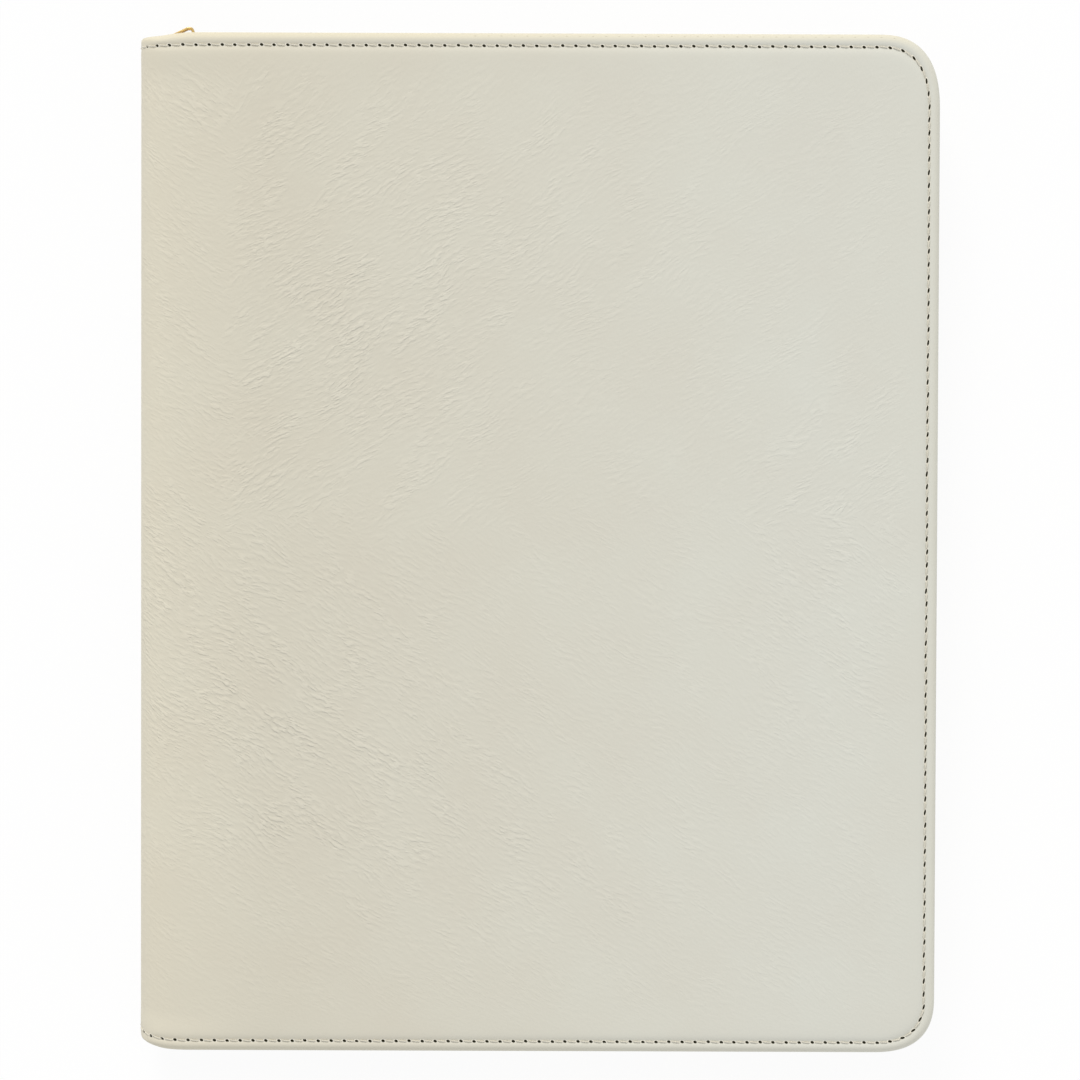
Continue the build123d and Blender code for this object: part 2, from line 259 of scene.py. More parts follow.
def join_copies(source, places, name):
    """Copies a small model to every place, each copy with its own mesh, and joins them as one piece."""
    twins = []
    for place in places:
        twin = source.copy()
        twin.data = source.data.copy()
        twin.data.transform(place)
        bpy.context.collection.objects.link(twin)
        twins.append(twin)
    bpy.data.objects.remove(source)
    start_fresh()
    for twin in twins:
        twin.select_set(True)
    bpy.context.view_layer.objects.active = twins[0]
    bpy.ops.object.join()
    return named_start(name)


def redress(node, finish):
    """Gives a CAD node that stays in view its material."""
    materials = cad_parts[node].data.materials
    materials.clear()
    materials.append(finish)


def copy_of_node(node, name, bevel):
    """Copies a CAD node, merges it into one skin and rounds its edges."""
    start_fresh()
    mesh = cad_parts[node].data.copy()
    piece = bpy.data.objects.new(name, mesh)
    mesh.name = name
    bpy.context.collection.objects.link(piece)
    with editing(piece):
        bpy.ops.mesh.remove_doubles(threshold=0.000002)
        bpy.ops.mesh.dissolve_limited(angle_limit=math.radians(1))
    if mesh.has_custom_normals:
        take_up(piece)
        bpy.ops.mesh.customdata_custom_splitnormals_clear()
    round_edges(piece, bevel, 3, 28)
    smooth_faces(piece)
    return piece


def new_finish(name):
    """Starts a node material."""
    finish = bpy.data.materials.new(name)
    finish.use_nodes = True
    return finish, finish.node_tree, finish.node_tree.nodes["Principled BSDF"]


def plug(tree, socket, value):
    """Joins a socket to an output, or sets it to a plain value."""
    if isinstance(value, bpy.types.NodeSocket):
        tree.links.new(value, socket)
    elif socket.type == "RGBA" and len(value) == 3:
        socket.default_value = (*value, 1.0)
    else:
        socket.default_value = value


def fit(tree, node, inputs):
    """Joins or sets a node's inputs, by name or by number."""
    for key, value in inputs.items():
        plug(tree, node.inputs[key], value)


def add_node(tree, kind, inputs, **settings):
    """Adds a shader node with its settings and its inputs."""
    made = tree.nodes.new("ShaderNode" + kind)
    for key, value in settings.items():
        setattr(made, key, value)
    fit(tree, made, inputs)
    return made


def maths(tree, operation, first, second=0.0):
    """One operation on two values."""
    return add_node(tree, "Math", {0: first, 1: second}, operation=operation).outputs[0]


def times(tree, first, second):
    """The product of two values."""
    return maths(tree, "MULTIPLY", first, second)


def plus(tree, first, second):
    """The sum of two values."""
    return maths(tree, "ADD", first, second)


def minus(tree, first, second):
    """The difference of two values."""
    return maths(tree, "SUBTRACT", first, second)


def flat_vector(tree, x, y):
    """A vector in the plane."""
    return add_node(tree, "CombineXYZ", {0: x, 1: y}).outputs[0]


def spread(tree, value, low, high, to_low=0.0, to_high=1.0):
    """Stretches a range of values to another, held at its ends."""
    return add_node(tree, "MapRange", {"Value": value, "From Min": low, "From Max": high, "To Min": to_low,
                                       "To Max": to_high}).outputs[0]


def mottle(tree, vector, scale, detail=2.0, roughness=0.5):
    """Soft uneven cloud over a surface."""
    return add_node(tree, "TexNoise", {"Vector": vector, "Scale": scale, "Detail": detail,
                                       "Roughness": roughness}).outputs[0]


def mixed(tree, part, first, second, blend="MIX"):
    """A colour between two, by a part that changes over the surface."""
    made = add_node(tree, "Mix", {}, data_type="RGBA", blend_type=blend)
    fit(tree, made, {0: part, 6: first, 7: second})
    return made.outputs[2]


def bumped(tree, height, distance, normal=None, strength=1.0):
    """Raises a height into the surface normal."""
    inputs = {"Height": height, "Distance": distance, "Strength": strength}
    if normal is not None:
        inputs["Normal"] = normal
    return add_node(tree, "Bump", inputs).outputs[0]


def tinted(colour, factor):
    """A colour a little lighter or darker, or warmer with a factor for each channel."""
    factors = factor if isinstance(factor, tuple) else (factor,) * 3
    return tuple(min(part * by, 1.0) for part, by in zip(colour, factors))


def object_place(tree):
    """Object coordinates, in metres."""
    return add_node(tree, "TexCoord", {}).outputs["Object"]


def scaled_place(tree, vector, scale):
    """Coordinates stretched by a scale for each axis."""
    return add_node(tree, "Mapping", {"Vector": vector, "Scale": scale}).outputs[0]


def woven(tree, vector, threads, distance):
    """A plain weave of a number of threads to the metre, as a height and a bump."""
    uneven = {"Vector": vector, "Scale": threads, "Distortion": 0.6, "Detail": 1.0}
    across = add_node(tree, "TexWave", uneven, bands_direction="X").outputs[1]
    along = add_node(tree, "TexWave", uneven, bands_direction="Y").outputs[1]
    height = times(tree, across, along)
    return height, bumped(tree, height, distance)


def crease_ripples(tree, along, across, reach, gap):
    """Ripples, longer along than across, that run into each other, as a height from 0 to 1."""
    stretched = flat_vector(tree, times(tree, along, 1.0 / reach), times(tree, across, 1.0 / gap))
    rise = {"Value": mottle(tree, stretched, 1.0, 2.5, 0.52), "From Min": 0.40, "From Max": 0.64}
    return add_node(tree, "MapRange", rise, interpolation_type="SMOOTHSTEP").outputs[0]


def turned_axes(tree, x, y, angle):
    """Coordinates along and across a direction in the flat leather."""
    cos, sin = math.cos(angle), math.sin(angle)
    along = plus(tree, times(tree, x, cos), times(tree, y, sin))
    across = minus(tree, times(tree, y, cos), times(tree, x, sin))
    return along, across


def crease_field(tree, x, y, way):
    """Creases that run one way, as a height from 0 to 1.

    They are parallel ripples, highest in chains that run more steeply.
    """
    along, across = turned_axes(tree, x, y, way * SLANT)
    bend = minus(tree, mottle(tree, flat_vector(tree, along, across), 30.0, 1.0), 0.5)
    across = plus(tree, across, times(tree, bend, 0.008))
    ridges = crease_ripples(tree, along, across, 0.0036, 0.0012)
    down, aside = turned_axes(tree, x, y, way * CHAIN_SLANT)
    chains = mottle(tree, flat_vector(tree, times(tree, down, 34.0), times(tree, aside, 150.0)), 1.0, 1.0)
    return times(tree, ridges, spread(tree, chains, 0.36, 0.66, 0.34, 1.10))


def crease_turn(tree, place, x, y):
    """1 where the creases rise to the fore edge; 0 below TURN_Y and beside the spine, where they fall."""
    waver = times(tree, minus(tree, mottle(tree, place, 45.0, 2.0), 0.5), 0.05)
    above = spread(tree, plus(tree, y, waver), TURN_Y - 0.007, TURN_Y + 0.007)
    beside = spread(tree, plus(tree, x, waver), TURN_X - 0.007, TURN_X + 0.007)
    return times(tree, above, beside)


def leather_finish(name, colour, creased):
    """Pale leather: pebble grain, slanting creases and fine wrinkles, uneven tone, and painted light on creased
    covers: paler crease crests, a cooler fore side, a lighter band by the spine and paler edges, most along the
    head.
    """
    finish, tree, shader = new_finish(name)
    place = add_node(tree, "UVMap", {}, uv_map="cut").outputs[0]
    grain = add_node(tree, "TexVoronoi", {"Vector": place, "Scale": 950.0, "Smoothness": 0.6},
                     feature="SMOOTH_F1").outputs[0]
    pores = mottle(tree, place, 2600.0, 2.0, 0.6)
    normal = bumped(tree, grain, 0.00005, None, 0.5)
    normal = bumped(tree, pores, 0.00003, normal, 0.5)
    clouds = mottle(tree, place, 26.0, 3.0, 0.55)
    tone = mixed(tree, spread(tree, clouds, 0.3, 0.7), tinted(colour, (0.988, 0.981, 0.973)),
                 tinted(colour, (1.007, 1.014, 1.014)))
    if creased:
        axes = add_node(tree, "SeparateXYZ", {0: place})
        x, y = axes.outputs[0], axes.outputs[1]
        turn = crease_turn(tree, place, x, y)
        where = add_node(tree, "Attribute", {}, attribute_name="creased").outputs["Fac"]
        rising = times(tree, crease_field(tree, x, y, 1.0), spread(tree, turn, 0.0, 0.7))
        falling = times(tree, crease_field(tree, x, y, -1.0), spread(tree, turn, 0.3, 1.0, 1.0, 0.0))
        calm = spread(tree, mottle(tree, place, 70.0, 1.0), 0.34, 0.56, 0.45, 1.0)
        creases = maths(tree, "MAXIMUM", rising, falling)
        creases = times(tree, creases, times(tree, where, calm))
        normal = bumped(tree, creases, CREASE_BUMP, normal)
        # Painted highlight: the crease crests are lighter.
        tone = mixed(tree, creases, tone, (1.07, 1.07, 1.075), "MULTIPLY")
        # Painted light: the leather turns cooler and lighter towards the fore edge, as under a cool light from
        # that side.
        to_fore = spread(tree, x, -0.09, 0.09)
        tone = mixed(tree, to_fore, tone, (1.03, 1.08, 1.16), "MULTIPLY")
        # Painted light: a lighter, warmer band along the spine side, where the leather slopes towards the
        # light.
        to_spine = spread(tree, x, -0.092, -0.130)
        tone = mixed(tree, to_spine, tone, (1.055, 1.05, 1.035), "MULTIPLY")
        # Painted light: the edges are paler and warmer, most along the head, where the light comes from.
        rim = add_node(tree, "Attribute", {}, attribute_name="rim").outputs["Fac"]
        tone = mixed(tree, times(tree, rim, 0.6), tone, tinted(colour, (1.12, 1.07, 0.92)))
    gloss = spread(tree, plus(tree, grain, pores), 0.4, 1.4, 0.50, 0.64)
    fit(tree, shader, {"Base Color": tone, "Roughness": gloss, "Normal": normal, "Specular IOR Level": 0.3,
                       "Sheen Weight": 0.04})
    return finish


def cloth_finish(name, colour, threads, distance, axes="XY"):
    """Woven cloth with threads that vary in tone, darker where the weave is low as painted shade between the
    threads.
    """
    finish, tree, shader = new_finish(name)
    place = object_place(tree)
    if axes == "XZ":
        place = add_node(tree, "Mapping", {"Vector": place, "Rotation": (math.pi / 2, 0.0, 0.0)}).outputs[0]
    height, normal = woven(tree, place, threads, distance)
    # Painted shade: the cloth is darker where the weave is low, between the threads.
    tone = mixed(tree, height, tinted(colour, 0.80), tinted(colour, 1.08))
    fuzz = mottle(tree, place, 180.0, 3.0, 0.6)
    tone = mixed(tree, spread(tree, fuzz, 0.3, 0.7, 0.0, 0.4), tone, tinted(colour, 0.88))
    fit(tree, shader, {"Base Color": tone, "Normal": normal, "Sheen Weight": 0.15, "Specular IOR Level": 0.2,
                       "Roughness": spread(tree, fuzz, 0.2, 0.8, 0.78, 0.92)})
    return finish


def metal_finish(name, colour, brushed=900.0, gloss=0.24):
    """Plated metal, lightly brushed, duller where it is handled."""
    finish, tree, shader = new_finish(name)
    place = object_place(tree)
    brush = mottle(tree, scaled_place(tree, place, (0.08, 1.0, 1.0)), brushed, 3.0, 0.6)
    smear = mottle(tree, place, 160.0, 2.0)
    tone = mixed(tree, spread(tree, smear, 0.35, 0.7), colour, tinted(colour, (0.84, 0.80, 0.74)))
    rough = spread(tree, plus(tree, brush, smear), 0.6, 1.4, gloss, gloss + 0.16)
    fit(tree, shader, {"Base Color": tone, "Roughness": rough, "Normal": bumped(tree, brush, 0.00001),
                       "Metallic": 1.0})
    return finish


def thread_finish(name, colour):
    """Twisted sewing thread."""
    finish, tree, shader = new_finish(name)
    place = object_place(tree)
    twist = add_node(tree, "TexWave", {"Vector": place, "Scale": 1500.0, "Distortion": 1.0},
                     bands_direction="DIAGONAL").outputs[1]
    # Painted shade: the grooves of the twist are darker.
    fit(tree, shader, {"Base Color": mixed(tree, twist, tinted(colour, 0.86), colour),
                       "Normal": bumped(tree, twist, 0.00005), "Roughness": 0.62, "Sheen Weight": 0.15})
    return finish


def fibre_finish(name, colour, scale):
    """Board, foam or the painted shade of a hole: a matt mass of short fibres."""
    finish, tree, shader = new_finish(name)
    place = object_place(tree)
    fibres = mottle(tree, scaled_place(tree, place, (1.0, 0.35, 1.0)), scale, 4.0, 0.65)
    fit(tree, shader, {"Base Color": mixed(tree, fibres, tinted(colour, 0.82), tinted(colour, 1.15)),
                       "Normal": bumped(tree, fibres, 0.00008), "Roughness": 0.9, "Specular IOR Level": 0.15})
    return finish


def paper_finish(name, colours, pitch, margin, top_line):
    """Writing paper: ruled lines and a margin on its face, page edges at its sides."""
    finish, tree, shader = new_finish(name)
    place = object_place(tree)
    axes = add_node(tree, "SeparateXYZ", {0: place})
    normal = add_node(tree, "NewGeometry", {}).outputs["Normal"]
    facing = add_node(tree, "SeparateXYZ", {0: normal}).outputs[2]
    face = spread(tree, facing, 0.55, 0.65)
    lines = maths(tree, "FRACT", maths(tree, "DIVIDE", plus(tree, axes.outputs[1], 1.0), pitch))
    row = maths(tree, "ABSOLUTE", minus(tree, lines, 0.5))
    rules = spread(tree, row, 0.016, 0.028, 1.0, 0.0)
    below_top = maths(tree, "LESS_THAN", axes.outputs[1], top_line)
    rules = times(tree, rules, times(tree, below_top, face))
    beside = maths(tree, "ABSOLUTE", minus(tree, axes.outputs[0], margin))
    edge_line = times(tree, spread(tree, beside, 0.00015, 0.00028, 1.0, 0.0), face)
    pulp = mottle(tree, place, 420.0, 4.0, 0.6)
    pages = mottle(tree, scaled_place(tree, place, (4.0, 4.0, 5200.0)), 1.0, 2.0, 0.7)
    side = minus(tree, 1.0, face)
    tone = mixed(tree, spread(tree, pulp, 0.3, 0.7), tinted(colours.paper, 0.975), tuple(colours.paper))
    # Painted shade: darker streaks between the leaves on the pad's sides.
    leaves = times(tree, spread(tree, pages, 0.4, 0.6), times(tree, side, 0.5))
    tone = mixed(tree, leaves, tone, tinted(colours.paper, (0.66, 0.64, 0.58)))
    tone = mixed(tree, times(tree, rules, 0.8), tone, tuple(colours.rule))
    tone = mixed(tree, times(tree, edge_line, 0.7), tone, (0.70, 0.30, 0.27))
    relief = plus(tree, pulp, times(tree, pages, side))
    fit(tree, shader, {"Base Color": tone, "Normal": bumped(tree, relief, 0.00006, None, 0.6),
                       "Roughness": 0.85, "Specular IOR Level": 0.2})
    return finish


def vinyl_finish(name):
    """Clear soft sheet with faint ripples."""
    finish, tree, shader = new_finish(name)
    ripples = mottle(tree, object_place(tree), 55.0, 2.0)
    fit(tree, shader, {"Normal": bumped(tree, ripples, 0.0004, None, 0.4), "Base Color": (0.96, 0.97, 0.97),
                       "Roughness": spread(tree, ripples, 0.3, 0.7, 0.05, 0.12), "Transmission Weight": 1.0,
                       "IOR": 1.2})
    return finish


def end_of_cover(x, side, inset):
    """Where the head edge (side 1) or tail edge (side -1) is at x; it is drawn in where it meets the spine.

    At the head the leather further in, with the seam, is drawn in less than the edge.
    """
    away = x - X_SPINE
    if side > 0:
        share = 1.0 - 0.65 * eased(inset, 0.0, 0.0034)
        return Y_HEAD - HEAD_DROP * share * eased(away, HEAD_REACH, HEAD_REACH * 0.25)
    part = max(1.0 - away / TAIL_REACH, 0.0)
    return Y_HEAD - TAIL_DROP * (1.0 - math.sqrt(1.0 - part * part))


def groove_depth(depth, sideways):
    """How deep the edge's groove and bead go where the leather faces sideways by a part: less at the spine.

    The hem under them keeps its depth, so that it lies on the lining all the way round.
    """
    less = SPINE_FLATTER * sideways * sideways * eased(depth, HEM_DEPTH * 0.95, HEM_DEPTH * 0.5)
    return max(depth - less, 0.2 * depth)


def course(sizes, step):
    """The outer line of the upper half across the case, from mid spine round the roll to the fore corners."""
    centre = Z_TOP - ROLL
    quarter = ROLL * math.pi / 2
    line = []
    for z in (Z_MID, (Z_MID + centre) / 2):
        line.append((X_SPINE, z, -1.0, 0.0, X_HINGE - quarter - (centre - z)))
    turns = max(round(quarter / step), 6)
    for index in range(turns):
        turn = math.pi / 2 * index / turns
        line.append((X_HINGE - ROLL * math.cos(turn), centre + ROLL * math.sin(turn), -math.cos(turn),
                     math.sin(turn), X_HINGE - quarter + ROLL * turn))
    last = X_FORE - sizes.corner_across
    flats = round((last - X_HINGE) / step)
    for index in range(flats + 1):
        x = X_HINGE + (last - X_HINGE) * index / flats
        line.append((x, Z_TOP, 0.0, 1.0, x))
    return line


def wrap_border():
    """Inset and depth of the leather: down into the seam, over the full bead, and under to the turned hem."""
    seam = [(6.4, 0.02), (5.5, 0.07), (4.8, 0.18), (4.25, 0.36), (3.8, 0.54), (3.4, 0.62), (3.05, 0.55),
            (2.75, 0.40)]
    bead = [(2.4, 0.30), (2.0, 0.26), (1.6, 0.30), (1.2, 0.42), (0.8, 0.64), (0.4, 0.98), (0.05, 1.4),
            (-0.18, 1.85)]
    hem = [(-0.26, 2.25), (-0.16, 2.5), (0.2, 2.66)]
    flat = [(inset, HEM_DEPTH / MM) for inset in (1.2, 3.2, 6.4)]
    return [(inset * MM, depth * MM) for inset, depth in seam + bead + hem + flat]


def corner_along(sizes, side):
    """How far the corner of one end reaches along the fore edge."""
    return sizes.head_corner if side > 0 else sizes.tail_corner


def inset_scale(side):
    """The seam lies further in along the head than along the fore edge, and a little less along the tail."""
    return 1.17 if side > 0 else 0.96


def corner_rings(sizes, border, depth, side):
    """Rings of a fore corner from its middle outwards: reach in x and y, depth, inset, length of leather."""
    flats = 9
    first = border[0][0]
    wide, tall = sizes.corner_across, corner_along(sizes, side)
    scale = inset_scale(side)
    rings = [(0.0, 0.0, depth, wide, 0.0)]
    for index in range(1, flats):
        part = index / flats
        rings.append((part * (wide - first), part * (tall - first * scale), depth,
                      wide * (1 - part) + first * part, part * (wide - first)))
    before = (wide, depth)
    length = 0.0
    for inset, sink in border:
        length += math.hypot(before[0] - inset, sink - before[1])
        rings.append((wide - inset, tall - inset * scale, sink, inset, length))
        before = (inset, sink)
    return rings


def corner_turn(sizes, angle):
    """How far along x and y a fore corner has come at an angle, as parts of its reach."""
    power = 2.0 / sizes.corner_fullness
    return max(math.cos(angle), 0.0) ** power, max(math.sin(angle), 0.0) ** power


def lay_over(name, sizes, up, step, border, depth, lift, flatter=False):
    """Lays a grid over one half of the case: round the spine, over the flat and down its edges.

    up is 1 for the front half and -1 for the back one, border gives the inset and depth of the edges, depth
    sinks the grid under the outer line, and lift gives the height of the surface by its run, y and inset.
    flatter makes the edges shallower round the spine. Returns the grid with each vertex's place in the flat
    leather and its inset.
    """
    line = course(sizes, step)
    rings = {side: corner_rings(sizes, border, depth, side) for side in (1, -1)}
    fringe = len(rings[1]) - 1
    straight = {side: Y_HEAD - corner_along(sizes, side) for side in (1, -1)}
    middle = round((straight[1] + straight[-1]) / step)
    columns = len(line) + fringe
    rows = middle + 1 + 2 * fringe
    start_fresh()
    bpy.ops.mesh.primitive_grid_add(x_subdivisions=columns - 1, y_subdivisions=rows - 1, size=2)
    grid = named_start(name)
    cuts, insets, places = [], [], []
    for row in range(rows):
        by = max(row - fringe - middle, fringe - row, 0)
        flat_y = (row - fringe) / middle * (straight[1] + straight[-1]) - straight[-1]
        side = 1 if flat_y > 0 else -1
        for column in range(columns):
            bx = max(column - len(line) + 1, 0)
            x, z, nx, nz, run = line[min(column, len(line) - 1)]
            reach_x, reach_y, sink, inset, length = rings[side][max(bx, by)]
            if bx and by:
                angle = math.pi / 4 * by / bx if bx >= by else math.pi / 2 - math.pi / 4 * bx / by
                part_x, part_y = corner_turn(sizes, angle)
                x += reach_x * part_x
                y = side * (straight[side] + reach_y * part_y)
                cut = (run + length * math.cos(angle), side * (straight[side] + length * math.sin(angle)))
            elif bx:
                x += reach_x
                y = flat_y
                cut = (run + length, y)
            elif by:
                drawn = end_of_cover(x, side, inset) - Y_HEAD
                sink = groove_depth(sink, nx) if flatter else sink
                y = side * (straight[side] + reach_y + drawn)
                cut = (run, side * (straight[side] + length + drawn))
            else:
                y = flat_y * (1 + (end_of_cover(x, side, inset) - Y_HEAD) / straight[side])
                cut = (run, y)
            rise = lift(cut[0], y, inset) - sink
            places.extend((x + nx * rise, y, z + nz * rise if up > 0 else Z_TOP - z - nz * rise))
            cuts.append(cut)
            insets.append(inset)
    grid.data.vertices.foreach_set("co", places)
    lay_cut(grid, cuts)
    return grid, cuts, insets


def lay_cut(piece, cuts):
    """Keeps each vertex's place in the flat leather, in metres, as the piece's UV map."""
    layer = piece.data.uv_layers.new(name="cut")
    for loop in piece.data.loops:
        layer.data[loop.index].uv = cuts[loop.vertex_index]


def crease_height(run, y):
    """The larger creases of the leather, from 0 to 1, along the same slant as its grain."""
    fold = abs(y - TURN_Y)
    beside = abs(run - TURN_X) if y > TURN_Y else run - TURN_X
    along = beside * math.cos(SLANT) + fold * math.sin(SLANT)
    across = fold * math.cos(SLANT) - beside * math.sin(SLANT)
    sway = 0.006 * noise.noise(Vector((along * 45, across * 60, 1.7)))
    field = noise.noise(Vector((along * 26, (across + sway) * 110, y * 8 + 4.0)))
    return max(0.0, 1.0 - abs(field) * 2.6) ** 2 * eased(fold, 0.0, 0.02)


def slack_height(run, y):
    """How far the leather swells and sinks over a cover, and dips beside the spine."""
    swell = noise.noise(Vector((run * 15, y * 13, 9.1)))
    return SWELL * swell - SPINE_DIP * eased(run, X_HINGE + 0.036, X_HINGE - 0.004)


def creased_where(run, y):
    """How creased the leather is at a place: most on the spine's side of the middle, least at the edges."""
    patches = ((-0.066, 0.072, 0.050, 0.052, 0.66), (-0.074, -0.066, 0.054, 0.050, 0.70),
               (-0.113, -0.020, 0.030, 0.055, 0.50), (0.108, -0.008, 0.036, 0.055, 0.34),
               (-0.006, 0.112, 0.050, 0.034, 0.24), (-0.006, -0.112, 0.050, 0.034, 0.24),
               (-0.105, 0.146, 0.045, 0.024, 0.42))
    amount = 0.24
    for x, height, wide, tall, weight in patches:
        amount += weight * math.exp(-((run - x) / wide) ** 2 - ((y - height) / tall) ** 2)
    calm = eased(run, 0.138, 0.108) * eased(abs(y), 0.170, 0.142)
    return min(amount, 1.0) * (0.22 + 0.78 * calm)


def build_wraps(sizes, colours):
    """The outer leather, as a front and a back half that meet at mid spine."""
    finish = leather_finish("ivory_leather_finish", colours.ivory, True)
    halves = (("wrap_front", 1, sizes.grid_step), ("wrap_back", -1, sizes.grid_step * 1.35))
    for name, up, step in halves:
        def lift(run, y, inset, up=up):
            spine = eased(run, X_HINGE - ROLL * 1.57 - 0.002, X_HINGE - 0.003)
            edge = eased(inset, 0.004, 0.013)
            height = sizes.crease * crease_height(run, y) * creased_where(run, y) + slack_height(run, y)
            return edge * spine * (height if up > 0 else height - BACK_SINK)

        wrap, cuts, insets = lay_over(name, sizes, up, step, wrap_border(), 0.0, lift, True)
        # rim: how far painted light pales the edge, most along the head.
        rim = wrap.data.attributes.new("rim", "FLOAT", "POINT")
        rim.data.foreach_set("value", [
            eased(inset, 0.0026, 0.0006) * (0.25 + 0.75 * eased(cut[1], 0.160, 0.168))
            for cut, inset in zip(cuts, insets)])
        creased = wrap.data.attributes.new("creased", "FLOAT", "POINT")
        creased.data.foreach_set("value", [
            creased_where(*cut) * eased(inset, 0.0035, 0.012) for cut, inset in zip(cuts, insets)])
        if up < 0:
            with editing(wrap):
                bpy.ops.mesh.flip_normals()
        apply_modifier(wrap, "SOLIDIFY", thickness=sizes.leather, offset=-1.0, use_even_offset=False)
        smooth_faces(wrap, 65)
        dress(wrap, finish)
        bend_with_fold(wrap, up)
        if up > 0:
            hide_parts("front_skin")
        else:
            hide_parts("back_skin", "spine_skin")


def bend_with_fold(piece, up):
    """Bakes a piece's placement into its mesh; the piece is not bent."""
    if up > 0:
        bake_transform(piece)
    else:
        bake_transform(piece)


def edge_route(sizes, up, inset, depth):
    """Points and outward normals along the edge of a half at an inset: head side, fore side, tail side."""
    straights, rounds = {}, {}
    for side in (1, -1):
        deep = inset * inset_scale(side)
        straights[side] = []
        for x, z, nx, nz, _ in course(sizes, 0.002):
            under = groove_depth(depth, nx)
            y = side * (end_of_cover(x, side, inset) - deep)
            straights[side].append((Vector((x - nx * under, y, z - nz * under)), Vector((nx, 0.0, nz))))
        tall = corner_along(sizes, side)
        rounds[side] = []
        for index in range(1, 31):
            part_x, part_y = corner_turn(sizes, math.pi / 2 * (1 - index / 30))
            point = Vector((X_FORE - sizes.corner_across + (sizes.corner_across - inset) * part_x,
                            side * (Y_HEAD - tall + (tall - deep) * part_y), Z_TOP - depth))
            rounds[side].append((point, Vector((0, 0, 1))))
    route = straights[1] + rounds[1] + rounds[-1][::-1] + straights[-1][::-1]
    if up < 0:
        route = [(Vector((p.x, p.y, Z_TOP - p.z)), Vector((n.x, n.y, -n.z))) for p, n in route]
    return route


def stations(route, pitch, offset=0.0):
    """Places at even steps along a route, each with x along it and z outwards."""
    places = []
    travelled = 0.0
    wanted = offset
    for (start, normal), (end, other) in zip(route, route[1:]):
        length = (end - start).length
        while length > 0 and wanted <= travelled + length:
            part = (wanted - travelled) / length
            outward = normal.lerp(other, part).normalized()
            forward = (end - start).normalized()
            beside = outward.cross(forward).normalized()
            forward = beside.cross(outward)
            place = Matrix((forward, beside, outward)).transposed().to_4x4()
            place.translation = start.lerp(end, part)
            places.append(place)
            wanted += pitch
        travelled += length
    return places


def model_stitch(length, thread):
    """One stitch of thread: a bar of round section whose ends dive into their holes."""
    start_fresh()
    bpy.ops.mesh.primitive_cylinder_add(vertices=7, radius=thread / 2, depth=length, end_fill_type="NGON")
    stitch = named_start("stitch")
    stitch.data.transform(Matrix.Rotation(math.pi / 2, 4, "Y"))
    with editing(stitch):
        bpy.ops.mesh.bisect(plane_co=(-length * 0.22, 0, 0), plane_no=(1, 0, 0))
        bpy.ops.mesh.select_all(action="SELECT")
        bpy.ops.mesh.bisect(plane_co=(length * 0.22, 0, 0), plane_no=(1, 0, 0))
        select_where(stitch, lambda co: abs(co.x) > length * 0.4)
        bpy.ops.transform.translate(value=(0, 0, -thread * 0.8))
        bpy.ops.transform.resize(value=(1, 0.6, 0.6))
        bpy.ops.mesh.select_all(action="SELECT")
        bpy.ops.transform.rotate(value=math.radians(7), orient_axis="Z", center_override=(0, 0, 0))
    smooth_faces(stitch, 60)
    return stitch


def model_hole(length, width):
    """One needle hole: a dished oval with a low lip."""
    start_fresh()
    bpy.ops.mesh.primitive_circle_add(vertices=10, radius=0.5, fill_type="NGON")
    hole = named_start("needle_hole")
    with editing(hole):
        bpy.ops.transform.resize(value=(length, width, 1))
        bpy.ops.mesh.inset(thickness=width * 0.18, depth=0)
        bpy.ops.transform.translate(value=(0, 0, -0.00006))
    smooth_faces(hole, 60)
    return hole


def model_lip(length, width):
    """The lip of leather round a needle hole, painted paler as a highlight: a ring with its inner edge raised.
    """
    start_fresh()
    bpy.ops.mesh.primitive_circle_add(vertices=12, radius=0.5, fill_type="NOTHING")
    lip = named_start("hole_lip")
    with editing(lip):
        bpy.ops.transform.resize(value=(length * 1.5, width * 1.56, 1))
        extrude((0, 0, 0.00005))
        bpy.ops.transform.resize(value=(0.67, 0.64, 1))
        face_out()
    for vertex in lip.data.vertices:
        vertex.co.z -= 0.00005
    smooth_faces(lip, 60)
    return lip


def hole_places(sizes, up):
    """Where the needle holes are: uneven, slanted along the head and tail, tall along the fore edge."""
    places = []
    pitch = sizes.stitch_pitch
    route = edge_route(sizes, up, sizes.seam_inset, HOLE_DEPTH)
    for index, place in enumerate(stations(route, pitch, pitch / 2)):
        upright = abs(place.col[0].y)
        stray = Matrix.Translation((STRAY_ALONG * noise.noise(Vector((index * 1.37, 2.1, up))),
                                    STRAY_ACROSS * noise.noise(Vector((index * 1.91, 6.4, up))), 0.0))
        lean = Matrix.Rotation(math.radians(-20 + 10 * upright), 4, "Z")
        taller = Matrix.Diagonal((1.0 + 0.6 * upright, 1.0 - 0.27 * upright, 1.0, 1.0))
        places.append(place @ stray @ lean @ taller)
    return places


